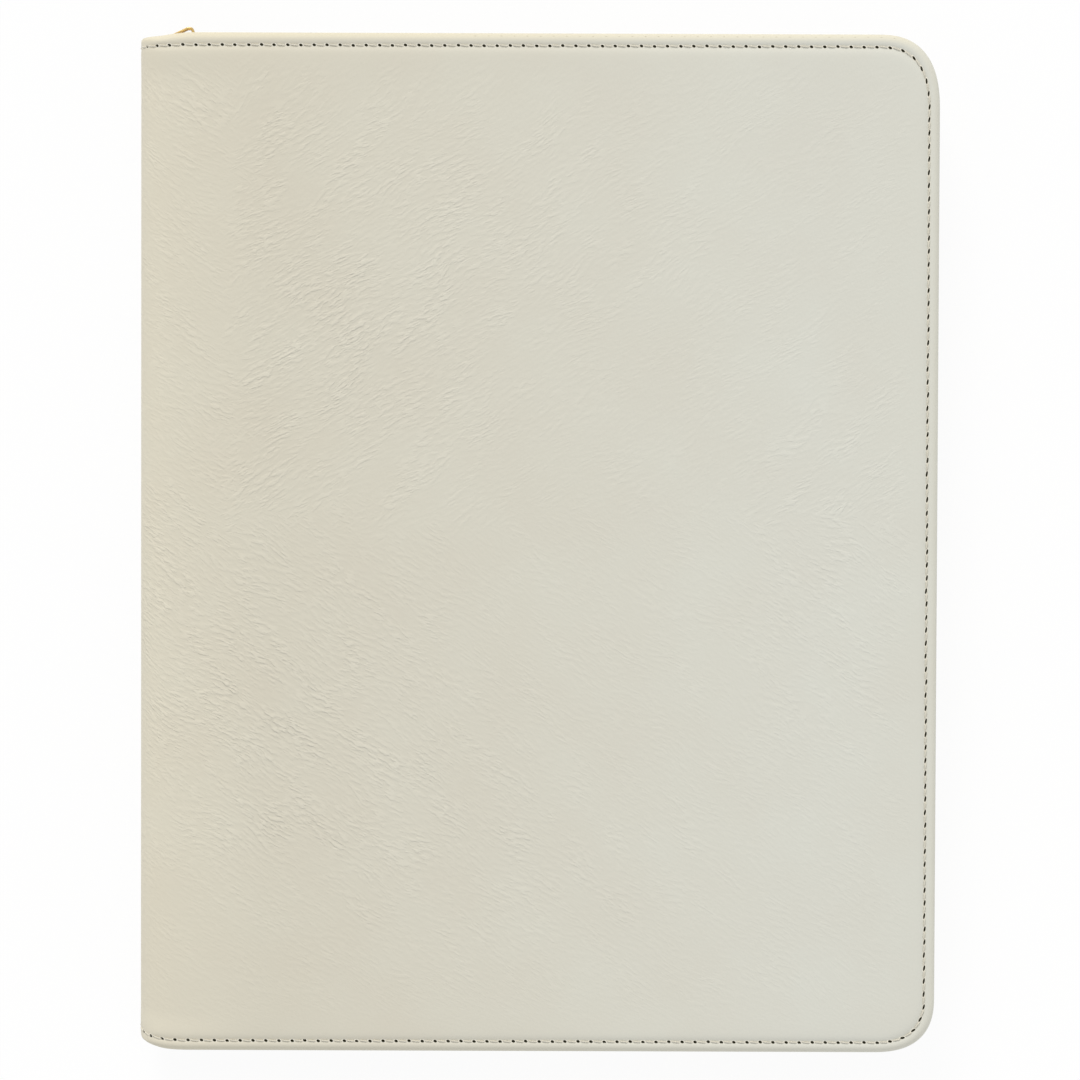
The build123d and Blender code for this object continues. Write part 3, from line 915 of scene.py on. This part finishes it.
def build_seams(sizes, colours):
    """The edge seam of both covers: thread, needle holes, and the under thread's dents along the head."""
    thread = thread_finish("ivory_thread_finish", colours.thread)
    # Painted shade: the needle holes are shallow ovals, near black as the shade inside a hole.
    dark = fibre_finish("needle_hole_shade_finish", colours.hole, 900.0)
    # Painted highlight: the lips round the needle holes are much paler than the leather.
    pale = fibre_finish("hole_lip_highlight_finish", tinted(colours.ivory, (1.26, 1.27, 1.32)), 900.0)
    # Painted shade: the under thread's dents are darker, browner ovals.
    dent = fibre_finish("dent_shade_finish", tinted(colours.ivory, (0.62, 0.55, 0.40)), 900.0)
    pitch = sizes.stitch_pitch
    for label, up in (("front", 1), ("back", -1)):
        route = edge_route(sizes, up, sizes.seam_inset, THREAD_DEPTH)
        stitches = join_copies(model_stitch(pitch * 0.84, sizes.thread), stations(route, pitch, pitch),
                               "seam_thread_" + label)
        dress(stitches, thread)
        bend_with_fold(stitches, up)
        holes = hole_places(sizes, up)
        dots = join_copies(model_hole(HOLE_LENGTH, HOLE_WIDTH), holes, "needle_holes_" + label)
        dress(dots, dark)
        lips = join_copies(model_lip(HOLE_LENGTH, HOLE_WIDTH), holes, "hole_lips_" + label)
        dress(lips, pale)
        for piece in (dots, lips):
            bend_with_fold(piece, up)
        rim = stations(edge_route(sizes, up, DENT_INSET, DENT_INSET), pitch, pitch * 0.75)
        dents = [place @ Matrix.Rotation(math.radians(34), 4, "X") for place in rim
                 if place.translation.y > Y_HEAD - 0.002 and X_HINGE + 0.1 < place.translation.x]
        marks = join_copies(model_hole(DENT_LENGTH, DENT_WIDTH), dents, "under_thread_dents_" + label)
        dress(marks, dent)
        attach(marks, label + "_cover")


def lining_border(depth):
    """Inset and depth of a lining's edge, in metres: flat, then turned down to the board."""
    pairs = [(6.5, 0), (4.6, 0), (3.8, 0.05), (3.4, 0.2), (3.22, 0.45), (3.2, 0.8)]
    return [(inset * MM, depth - down * MM) for inset, down in pairs]


def build_linings(sizes, colours):
    """Woven lining of both covers and the spine, in two halves."""
    finish = cloth_finish("lining_cloth_finish", colours.lining, 420.0, 0.00010)
    depth = LINING_BACK
    for label, up in (("front", 1), ("back", -1)):
        lining = lay_over("lining_" + label, sizes, up, 0.0042, lining_border(depth), depth,
                          lambda run, y, inset: 0.0)[0]
        if up > 0:
            with editing(lining):
                bpy.ops.mesh.flip_normals()
        take_up(lining)
        bpy.ops.object.shade_smooth()
        dress(lining, finish)
        bend_with_fold(lining, up)
        if up > 0:
            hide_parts("front_lining")
        else:
            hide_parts("back_lining", "spine_lining")


def sweep_round_zip(name, ring, corner):
    """Carries a ring of profile points along the zip: head side, round both fore corners, tail side back."""
    turn = X_FORE - corner
    start_fresh()
    bpy.ops.mesh.primitive_circle_add(vertices=len(ring), radius=0.001, fill_type="NOTHING")
    piece = named_start(name)
    for vertex, place in zip(piece.data.vertices, ring):
        vertex.co = place
    fine = 0.016
    reach = turn - ring[0][0] - fine
    end = Y_HEAD - corner
    runs = ((fine, 0, 20, 0), (reach, 0, 46, 1), (0, -2 * end, 60, -1), (-reach, 0, 46, 0),
            (-fine, 0, 20, 0))
    with editing(piece):
        for dx, dy, steps, side in runs:
            for _ in range(steps):
                extrude((dx / steps, dy / steps, 0))
            if side:
                bpy.ops.mesh.spin(steps=14, angle=math.pi / 2, center=(turn, side * end, 0), axis=(0, 0, 1))
        bpy.ops.mesh.select_all(action="SELECT")
        bpy.ops.mesh.remove_doubles(threshold=0.00001)
        bpy.ops.mesh.select_all(action="DESELECT")
        bpy.ops.mesh.select_non_manifold()
        bpy.ops.mesh.fill_holes(sides=0)
        face_out()
    return piece


def build_tapes(sizes, colours):
    """The two zip tapes, each with the cord that its teeth grip."""
    finish = cloth_finish("zip_tape_finish", colours.tape, 520.0, 0.00012, "XZ")
    for label, up in (("back", -1), ("front", 1)):
        low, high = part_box(label + "_zip_tape")
        tail = X_HINGE - ROLL + HEM_DEPTH + 2 * TAPE_CLEAR
        foot = low.z if up < 0 else Z_TOP - high.z
        top = high.z if up < 0 else Z_TOP - low.z
        heights = [foot + (top - foot) * part / 6 for part in range(7)]
        outer = [(tail, TAPE_MIDDLE + TAPE_HALF, z) for z in heights]
        inner = [(tail, TAPE_MIDDLE - TAPE_HALF, z) for z in heights[::-1]]
        tape = sweep_round_zip("zip_tape_" + label, outer + inner, sizes.zip_corner)
        follow_roll(tape, foot, top)
        cord_ring = []
        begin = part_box("back_zip_teeth")[0].x - 0.0009
        for index in range(8):
            angle = math.pi / 4 * index
            cord_ring.append((begin, TAPE_MIDDLE + CORD_ACROSS * math.sin(angle),
                              top - CORD_DEEP + CORD_DEEP * math.cos(angle)))
        cord = sweep_round_zip("zip_cord_" + label, cord_ring, sizes.zip_corner)
        for piece in (tape, cord):
            if up > 0:
                with editing(piece):
                    bpy.ops.transform.mirror(orient_type="GLOBAL", constraint_axis=(False, False, True),
                                             center_override=(0, 0, Z_MID))
                    bpy.ops.mesh.normals_make_consistent(inside=False)
            smooth_faces(piece, 35)
            dress(piece, finish)
            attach(piece, label + "_cover")
        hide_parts(label + "_zip_tape")


def follow_roll(tape, foot, top):
    """Shapes a tape's tails: their foot follows the hem round the roll, and they meet past the stop."""
    inner = ROLL - HEM_DEPTH - TAPE_CLEAR
    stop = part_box("bottom_stop")[1].x
    for vertex in tape.data.vertices:
        away = max(X_HINGE - vertex.co.x, 0.0)
        clear = max(ROLL - math.sqrt(inner * inner - away * away), foot) if away else foot
        meet = eased(vertex.co.x, stop, stop - 0.003) if vertex.co.y < 0 else 0.0
        edge = top + (Z_MID - 0.0001 - top) * meet
        part = (vertex.co.z - foot) / (top - foot)
        vertex.co.z = clear + (edge - clear) * part


def zip_route(sizes, begin):
    """The middle of the chain from its first tooth, as points with outward normals."""
    corner = sizes.zip_corner
    radius = corner - TAPE_INSET
    route = [(Vector((begin, TAPE_MIDDLE, Z_MID)), Vector((0, 1, 0)))]
    for index in range(31):
        angle = math.pi / 2 * (1 - index / 30)
        out = Vector((math.cos(angle), math.sin(angle), 0))
        route.append((Vector((X_FORE - corner, Y_HEAD - corner, Z_MID)) + radius * out, out))
    lower = [(Vector((p.x, -p.y, p.z)), Vector((n.x, -n.y, n.z))) for p, n in route]
    return route + lower[::-1]


def model_tooth(foot, head):
    """One zip tooth, cast round the cord: a block, widest a little below its middle, narrowed to its foot and
    more to its head, with its edges rounded.
    """
    start_fresh()
    bpy.ops.mesh.primitive_cube_add(size=1)
    tooth = named_start("tooth")
    tooth.data.transform(Matrix.Translation((0, 0, (foot + head) / 2)) @ Matrix.Diagonal(
        (TOOTH_LONG, TOOTH_DEEP, head - foot, 1)))
    with editing(tooth):
        bpy.ops.mesh.bisect(plane_co=(0, 0, foot + (head - foot) * 0.42), plane_no=(0, 0, 1))
        select_where(tooth, lambda co: co.z > head - 0.0001)
        bpy.ops.transform.resize(value=(0.74, 0.86, 1))
        select_where(tooth, lambda co: co.z < foot + 0.0001)
        bpy.ops.transform.resize(value=(0.9, 0.92, 1))
    round_edges(tooth, 0.00018, 1, 40)
    smooth_faces(tooth, 50)
    return tooth


def build_teeth(sizes, colours):
    """Both rows of zip teeth and the stops at the ends of the chain."""
    finish = metal_finish("gold_teeth_finish", colours.gold)
    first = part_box("back_zip_teeth")[0].x + TOOTH_LONG / 2
    for label, up, shift in (("back", -1, 0.0), ("front", 1, sizes.tooth_pitch / 2)):
        low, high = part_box(label + "_zip_teeth")
        gap = high.z - Z_MID if up < 0 else Z_MID - low.z
        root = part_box("back_zip_tape")[1].z - Z_MID - 0.0017
        flip = Matrix.Identity(4) if up < 0 else Matrix.Diagonal((1, 1, -1, 1))
        places = []
        for place in stations(zip_route(sizes, first), sizes.tooth_pitch, shift)[:TEETH]:
            forward, outward = place.col[0].to_3d(), place.col[2].to_3d()
            turned = Matrix((forward, outward, Vector((0, 0, 1)))).transposed().to_4x4()
            turned.translation = place.translation
            places.append(turned @ flip)
        teeth = join_copies(model_tooth(root, gap), places, "zip_teeth_" + label)
        with editing(teeth):
            bpy.ops.mesh.normals_make_consistent(inside=False)
        dress(teeth, finish)
        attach(teeth, label + "_cover")
        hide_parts(label + "_zip_teeth")
    for node, body in (("back_top_stop", "back_cover"), ("front_top_stop", "front_cover"),
                       ("bottom_stop", "back_cover")):
        stop = copy_of_node(node, node + "_cast", 0.00035)
        dress(stop, finish)
        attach(stop, body)
        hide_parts(node)


def build_slider(colours):
    """The slider with its bail, and the pull that swings on it."""
    finish = metal_finish("gold_slider_finish", colours.gold, 700.0, 0.2)
    for node, name, body, bevel in (("slider_body", "slider_case", "slider", 0.0005),
                                    ("slider_bail", "slider_arch", "slider", 0.0003),
                                    ("pull_tab", "pull_leaf", "pull", 0.00022)):
        piece = copy_of_node(node, name, bevel)
        dress(piece, finish)
        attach(piece, body)
        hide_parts(node)


def sewn_panel(name, low, high, base, out, rise, slope, gape):
    """One pocket panel: three edges sewn down to the base, the head edge rolled over and left open.

    low and high are its corners in plan, slope raises the mouth towards the fore edge, out is the way it
    faces, and gape is how far the middle of its mouth stands off.
    """
    sewn = ((0.0, 0.02), (0.0, 0.55), (0.25, 0.86), (0.8, 1.0), (1.6, 0.99), (2.2, 0.80), (2.8, 0.98),
            (4.5, 1.0), (8.0, 1.0))
    mouth = ((9.0, 0.42), (3.0, 0.40), (0.5, 0.40), (0.08, 0.5), (0.0, 0.72), (0.15, 0.95), (0.6, 1.06),
             (1.4, 1.05), (2.6, 1.0), (3.3, 0.82), (4.0, 1.0), (8.0, 1.0))
    across = [(inset * MM, height) for inset, height in sewn]
    wide, tall = high[0] - low[0], high[1] - low[1]
    spans = max(int((wide - 0.02) / PANEL_STEP), 4)
    columns = list(across)
    columns += [(PANEL_EDGE + (wide - 2 * PANEL_EDGE) * part / spans, 1.0) for part in range(1, spans)]
    columns += [(wide - inset, height) for inset, height in across[::-1]]
    steps = max(int((tall - 0.02) / PANEL_STEP), 4)
    rows = [(inset, 0.0, height) for inset, height in across]
    rows += [(PANEL_EDGE * (1 - part / steps), part / steps, 1.0) for part in range(1, steps)]
    rows += [(-inset * MM, 1.0, height) for inset, height in mouth[::-1]]
    start_fresh()
    bpy.ops.mesh.primitive_grid_add(x_subdivisions=len(columns) - 1, y_subdivisions=len(rows) - 1, size=2)
    panel = named_start(name)
    places, cuts = [], []
    for inset_y, part, height_y in rows:
        for inset_x, height_x in columns:
            x = low[0] + inset_x
            head = high[1] - slope * (1 - inset_x / wide)
            edge = PANEL_EDGE if 0 < part < 1 else 0.0
            y = low[1] + inset_y + part * (head - low[1] - 2 * edge) + edge * part
            height = rise * min(height_x, height_y)
            bow = math.sin(math.pi * inset_x / wide) * eased(part, 0.0, 1.0) * gape
            ripple = 0.00006 * noise.noise(Vector((x * 60, y * 60, base * 900))) * eased(height, 0, rise)
            places.extend((x, y, base + out * (height + bow + ripple)))
            cuts.append((x, y))
    panel.data.vertices.foreach_set("co", places)
    lay_cut(panel, cuts)
    if out < 0:
        with editing(panel):
            bpy.ops.mesh.flip_normals()
    smooth_faces(panel, 60)
    return panel


def panel_seam(low, high, level, out, slope=0.0):
    """The route of a panel's seam: down one side, along the foot, up the other, and along the mouth."""
    side, lip = 2.2 * MM, 3.3 * MM
    outward = Vector((0, 0, out))
    left, right = low[0] + side, high[0] - side
    foot = low[1] + side
    head_left, head_right = high[1] - slope - lip, high[1] - lip
    line = [(left, head_left), (left, foot), (right, foot), (right, head_right), (left, head_left)]
    return [(Vector((x, y, level)), outward) for x, y in line]


def build_pockets(sizes, colours):
    """The pad sleeve, document pocket, card slots and window frame of sewn leather, and the clear window."""
    finish = leather_finish("pocket_leather_finish", colours.pocket, False)
    thread = thread_finish("pocket_thread_finish", tinted(colours.thread, 0.96))
    routes = {"back_cover": [], "front_cover": []}
    plans = [("pad_sleeve", "back_cover", LINING_BACK, 1, 0.0, 0.0)]
    plans += [("document_pocket", "front_cover", LINING_FRONT, -1, 0.040, 0.0009)]
    plans += [("card_slot_%d" % slot, "front_cover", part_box("card_slot_%d" % slot)[1].z, -1, 0.0, 0.00015)
              for slot in (1, 2, 3)]
    for node, body, base, out, slope, gape in plans:
        low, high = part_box(node)
        rise = high.z - low.z
        panel = sewn_panel(node + "_leather", low, high, base, out, rise, slope, gape)
        dress(panel, finish)
        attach(panel, body)
        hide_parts(node)
        routes[body].append(panel_seam(low, high, base + out * rise * 0.86, out, slope))
    frame_piece = model_window_frame()
    dress(frame_piece, finish)
    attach(frame_piece, "front_cover")
    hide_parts("window_frame")
    low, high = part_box("window_frame")
    routes["front_cover"].append(panel_seam(low, high + Vector((0, 1.1 * MM, 0)), low.z + 0.00005, -1))
    for body, lines in routes.items():
        places = [place for line in lines for place in stations(line, POCKET_PITCH, POCKET_PITCH / 2)]
        stitch = model_stitch(POCKET_STITCH, sizes.thread * 0.85)
        stitches = join_copies(stitch, places, "pocket_thread_" + body)
        dress(stitches, thread)
        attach(stitches, body)
    redress("clear_window", vinyl_finish("clear_vinyl_finish"))


def model_window_frame():
    """The leather frame round the clear window: a plate with its middle cut out and its edges rounded."""
    low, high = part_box("window_frame")
    size = high - low
    start_fresh()
    bpy.ops.mesh.primitive_plane_add(size=1)
    piece = named_start("window_frame_leather")
    middle = Matrix.Translation((low.x + size.x / 2, low.y + size.y / 2, high.z))
    piece.data.transform(middle @ Matrix.Diagonal((size.x, size.y, 1, 1)))
    with editing(piece):
        bpy.ops.mesh.inset(thickness=0.008, depth=0)
        bpy.ops.mesh.delete(type="FACE")
        bpy.ops.mesh.select_all(action="SELECT")
        extrude((0, 0, -size.z))
        face_out()
    round_edges(piece, 0.0005, 3, 40)
    lay_cut(piece, [(vertex.co.x, vertex.co.y) for vertex in piece.data.vertices])
    smooth_faces(piece)
    return piece


def build_pad(sizes, colours):
    """The writing pad: pages, loose top sheets with a lifting corner, cloth binding and back board."""
    low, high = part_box("pad_paper")
    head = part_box("pad_binding")[0].y
    finish = paper_finish("ruled_paper_finish", colours, sizes.rule_pitch, low.x + 0.032, head - 0.024)
    start_fresh()
    bpy.ops.mesh.primitive_cube_add(size=1)
    block = named_start("pad_pages")
    thick = high.z - low.z - SHEETS_ROOM
    block.data.transform(Matrix.Translation(((low.x + high.x) / 2, (low.y + high.y) / 2, low.z + thick / 2))
                         @ Matrix.Diagonal((high.x - low.x - 0.0006, high.y - low.y - 0.0006, thick, 1)))
    with editing(block):
        for part in range(1, 12):
            bpy.ops.mesh.select_all(action="SELECT")
            bpy.ops.mesh.bisect(plane_co=(0, 0, low.z + thick * part / 12), plane_no=(0, 0, 1))
    for vertex in block.data.vertices:
        level = (vertex.co.z - low.z) * 9000
        vertex.co.x += PAGE_STRAY * noise.noise(Vector((level, 1.0, math.copysign(3.0, vertex.co.x))))
        vertex.co.y += PAGE_STRAY * noise.noise(Vector((level, 7.0, math.copysign(3.0, vertex.co.y))))
    dress(block, finish)
    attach(block, "back_cover")
    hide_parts("pad_paper")
    for index, curl in enumerate((0.0007, 0.0012, 0.0019)):
        start_fresh()
        bpy.ops.mesh.primitive_grid_add(x_subdivisions=36, y_subdivisions=48, size=1)
        sheet = named_start("pad_sheet_%d" % (index + 1))
        level = low.z + thick + 0.0001 + SHEET_STEP * index
        for vertex in sheet.data.vertices:
            u, v = vertex.co.x + 0.5, vertex.co.y + 0.5
            bend = eased(u - v * 1.3, 0.35, 1.0)
            vertex.co = (low.x + (high.x - low.x) * u, low.y + (high.y - low.y) * v,
                         level + curl * bend * bend)
        apply_modifier(sheet, "SOLIDIFY", thickness=0.0001, offset=-1.0)
        smooth_faces(sheet)
        dress(sheet, finish)
        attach(sheet, "back_cover")
    binding = copy_of_node("pad_binding", "pad_binding_cloth", 0.0006)
    dress(binding, cloth_finish("pad_binding_finish", colours.binding, 640.0, 0.00008))
    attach(binding, "back_cover")
    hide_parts("pad_binding")
    redress("pad_backing", fibre_finish("pad_board_finish", tinted(colours.board, 0.9), 500.0))


def build_pen_loop(colours):
    """The elastic pen loop: a squared tube with ribs round it and bound ends."""
    finish, tree, shader = new_finish("ribbed_elastic_finish")
    place = object_place(tree)
    knit = add_node(tree, "TexWave", {"Vector": place, "Scale": 900.0, "Distortion": 1.5, "Detail": 1.0},
                    bands_direction="DIAGONAL").outputs[1]
    # Painted shade: the elastic is darker in the troughs of its knit.
    tone = mixed(tree, knit, tinted(colours.elastic, 0.78), tuple(colours.elastic))
    fit(tree, shader, {"Base Color": tone, "Normal": bumped(tree, knit, 0.00008), "Roughness": 0.85,
                       "Sheen Weight": 0.2})
    low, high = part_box("pen_loop")
    middle = (low + high) / 2
    half, round_off = (high.x - low.x) / 2 - 0.0002, 0.005
    start_fresh()
    bpy.ops.mesh.primitive_circle_add(vertices=40, radius=half, fill_type="NOTHING")
    loop = named_start("pen_loop_elastic")
    flat = half - round_off
    for index, vertex in enumerate(loop.data.vertices):
        angle = math.tau * index / 40
        cx, cz = math.cos(angle), math.sin(angle)
        corner_x = math.copysign(flat, cx) if abs(cx) > 0.02 else 0
        corner_z = math.copysign(flat, cz) if abs(cz) > 0.02 else 0
        vertex.co = (middle.x + corner_x + round_off * cx, low.y, middle.z + corner_z + round_off * cz)
    ribs = 42
    step = (high.y - low.y) / (2 * ribs)
    with editing(loop):
        for _ in range(2 * ribs):
            extrude((0, step, 0))
        face_out()
    for vertex in loop.data.vertices:
        rib = round((vertex.co.y - low.y) / step)
        bound = rib < 5 or rib > 2 * ribs - 5
        away = Vector((vertex.co.x - middle.x, 0, vertex.co.z - middle.z)).normalized()
        vertex.co += away * (0.00015 if bound else (0.0 if rib % 2 else -0.00022))
    apply_modifier(loop, "SOLIDIFY", thickness=0.0009, offset=-1.0)
    smooth_faces(loop, 60)
    dress(loop, finish)
    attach(loop, "spine")
    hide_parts("pen_loop")


def dress_core(colours):
    """Materials of the foam and boards inside the covers."""
    board = fibre_finish("grey_board_finish", colours.board, 380.0)
    foam = fibre_finish("foam_finish", tinted(colours.ivory, 0.95), 1400.0)
    for node, finish in (("back_board", board), ("front_board", board), ("spine_stiffener", board),
                         ("back_foam", foam), ("front_foam", foam)):
        redress(node, finish)


def white_shader(tree, lit):
    """White to the camera and in reflections, and whatever is lit to the light that bounces."""
    path = add_node(tree, "LightPath", {})
    seen = maths(tree, "MAXIMUM", path.outputs["Is Camera Ray"], maths(
        tree, "MAXIMUM", path.outputs["Is Glossy Ray"], path.outputs["Is Transmission Ray"]))
    return add_node(tree, "MixShader", {0: seen, 1: lit})


def set_stage():
    """White floor that keeps a soft shadow, soft light from the head, and a camera above the front cover."""
    scene = bpy.context.scene
    start_fresh()
    bpy.ops.mesh.primitive_plane_add(size=6, location=(0, 0, 0))
    floor = named_start("floor")
    floor.data.transform(Matrix.Translation((0, 0, -0.0003)))
    finish = bpy.data.materials.new("floor_finish")
    finish.use_nodes = True
    tree = finish.node_tree
    tree.nodes.clear()
    plain = add_node(tree, "BsdfDiffuse", {"Color": (0.92, 0.92, 0.92)})
    bright = add_node(tree, "BsdfDiffuse", {"Color": (0.98, 0.98, 0.98)})
    glow = add_node(tree, "Emission", {"Color": (1, 1, 1), "Strength": 1.0})
    shadowed = add_node(tree, "MixShader", {0: 0.92, 1: bright.outputs[0], 2: glow.outputs[0]})
    choose = white_shader(tree, plain.outputs[0])
    plug(tree, choose.inputs[2], shadowed.outputs[0])
    add_node(tree, "OutputMaterial", {0: choose.outputs[0]})
    floor.data.materials.append(finish)
    world = bpy.data.worlds.new("studio")
    scene.world = world
    world.use_nodes = True
    tree = world.node_tree
    tree.nodes.clear()
    soft = add_node(tree, "Background", {"Color": (0.985, 0.99, 1.0), "Strength": 0.675})
    white = add_node(tree, "Background", {"Color": (1, 1, 1), "Strength": 1.0})
    choose = white_shader(tree, soft.outputs[0])
    plug(tree, choose.inputs[2], white.outputs[0])
    add_node(tree, "OutputWorld", {0: choose.outputs[0]})
    lamps = (("key", (-1.95, 7.78, 4.8), 3.5, 495.0, (1.0, 0.965, 0.90)),
             ("fill", (1.15, -1.00, 0.70), 0.9, 2.5, (0.93, 0.975, 1.0)))
    for name, place, size, power, colour in lamps:
        lamp = bpy.data.lights.new(name, "AREA")
        lamp.energy = power
        lamp.size = size
        lamp.color = colour
        holder = bpy.data.objects.new(name, lamp)
        holder.location = place
        holder.rotation_euler = (-Vector(place)).to_track_quat("-Z", "Y").to_euler()
        scene.collection.objects.link(holder)
    camera = bpy.data.cameras.new("camera")
    camera.lens = 119.8
    camera.sensor_width = 36.0
    holder = bpy.data.objects.new("camera", camera)
    holder.location = (0.0008, 0.0015 + CAMERA_AWAY * math.sin(CAMERA_TILT),
                       Z_TOP + CAMERA_AWAY * math.cos(CAMERA_TILT))
    holder.rotation_euler = (-CAMERA_TILT, 0.0, math.radians(0.2))
    scene.collection.objects.link(holder)
    scene.camera = holder
    scene.view_settings.view_transform = "Standard"


class PadfolioOperator:
    """What the padfolio's operators share."""

    bl_options = {"REGISTER", "UNDO"}

    def execute(self, context):
        self.build(context.scene.padfolio_sizes, context.scene.padfolio_colours)
        return {"FINISHED"}


class PADFOLIO_OT_wraps(PadfolioOperator, bpy.types.Operator):
    """Lay the outer leather over the covers and spine"""

    bl_idname = "padfolio.wraps"
    bl_label = "Outer leather"

    def build(self, sizes, colours):
        build_wraps(sizes, colours)
        dress_core(colours)


class PADFOLIO_OT_seams(PadfolioOperator, bpy.types.Operator):
    """Sew the edge seam of both covers"""

    bl_idname = "padfolio.seams"
    bl_label = "Edge seams"

    def build(self, sizes, colours):
        build_seams(sizes, colours)


class PADFOLIO_OT_linings(PadfolioOperator, bpy.types.Operator):
    """Line the covers and spine"""

    bl_idname = "padfolio.linings"
    bl_label = "Linings"

    def build(self, sizes, colours):
        build_linings(sizes, colours)


class PADFOLIO_OT_tapes(PadfolioOperator, bpy.types.Operator):
    """Run the two zip tapes and their cords round the case"""

    bl_idname = "padfolio.tapes"
    bl_label = "Zip tapes"

    def build(self, sizes, colours):
        build_tapes(sizes, colours)


class PADFOLIO_OT_teeth(PadfolioOperator, bpy.types.Operator):
    """Set the zip teeth and stops along the tapes"""

    bl_idname = "padfolio.teeth"
    bl_label = "Zip teeth"

    def build(self, sizes, colours):
        build_teeth(sizes, colours)


class PADFOLIO_OT_slider(PadfolioOperator, bpy.types.Operator):
    """Make the slider, its bail and its pull"""

    bl_idname = "padfolio.slider"
    bl_label = "Slider and pull"

    def build(self, sizes, colours):
        build_slider(colours)


class PADFOLIO_OT_pockets(PadfolioOperator, bpy.types.Operator):
    """Sew the pockets, slots and window inside the covers"""

    bl_idname = "padfolio.pockets"
    bl_label = "Pockets"

    def build(self, sizes, colours):
        build_pockets(sizes, colours)


class PADFOLIO_OT_pad(PadfolioOperator, bpy.types.Operator):
    """Make the writing pad"""

    bl_idname = "padfolio.pad"
    bl_label = "Writing pad"

    def build(self, sizes, colours):
        build_pad(sizes, colours)


class PADFOLIO_OT_pen_loop(PadfolioOperator, bpy.types.Operator):
    """Make the elastic pen loop in the spine"""

    bl_idname = "padfolio.pen_loop"
    bl_label = "Pen loop"

    def build(self, sizes, colours):
        build_pen_loop(colours)


class PADFOLIO_OT_stage(PadfolioOperator, bpy.types.Operator):
    """Set the floor, light and camera"""

    bl_idname = "padfolio.stage"
    bl_label = "Stage"

    def build(self, sizes, colours):
        set_stage()


STEPS = (PADFOLIO_OT_stage, PADFOLIO_OT_wraps, PADFOLIO_OT_seams, PADFOLIO_OT_linings, PADFOLIO_OT_tapes,
         PADFOLIO_OT_teeth, PADFOLIO_OT_slider, PADFOLIO_OT_pockets, PADFOLIO_OT_pad, PADFOLIO_OT_pen_loop)


class PADFOLIO_PT_steps(bpy.types.Panel):
    """Sizes, colours and steps of the padfolio"""

    bl_idname = "PADFOLIO_PT_steps"
    bl_label = "Padfolio"
    bl_space_type = "VIEW_3D"
    bl_region_type = "UI"
    bl_category = "Padfolio"

    def draw(self, context):
        column = self.layout.column()
        for group in (context.scene.padfolio_sizes, context.scene.padfolio_colours):
            for key in group.__annotations__:
                column.prop(group, key)
        for step in STEPS:
            column.operator(step.bl_idname)


def register():
    """Registers the sizes, colours, steps and panel."""
    for kind in (CaseSizes, CaseColours, *STEPS, PADFOLIO_PT_steps):
        bpy.utils.register_class(kind)
    bpy.types.Scene.padfolio_sizes = bpy.props.PointerProperty(type=CaseSizes)
    bpy.types.Scene.padfolio_colours = bpy.props.PointerProperty(type=CaseColours)


def unregister():
    """Takes them away again."""
    del bpy.types.Scene.padfolio_colours
    del bpy.types.Scene.padfolio_sizes
    for kind in (PADFOLIO_PT_steps, *reversed(STEPS), CaseColours, CaseSizes):
        bpy.utils.unregister_class(kind)


def main():
    """Builds the padfolio step by step."""
    register()
    bpy.ops.padfolio.stage()
    bpy.ops.padfolio.wraps()
    bpy.ops.padfolio.seams()
    bpy.ops.padfolio.linings()
    bpy.ops.padfolio.tapes()
    bpy.ops.padfolio.teeth()
    bpy.ops.padfolio.slider()
    bpy.ops.padfolio.pockets()
    bpy.ops.padfolio.pad()
    bpy.ops.padfolio.pen_loop()
    start_fresh()


if __name__ == "__main__":
    main()
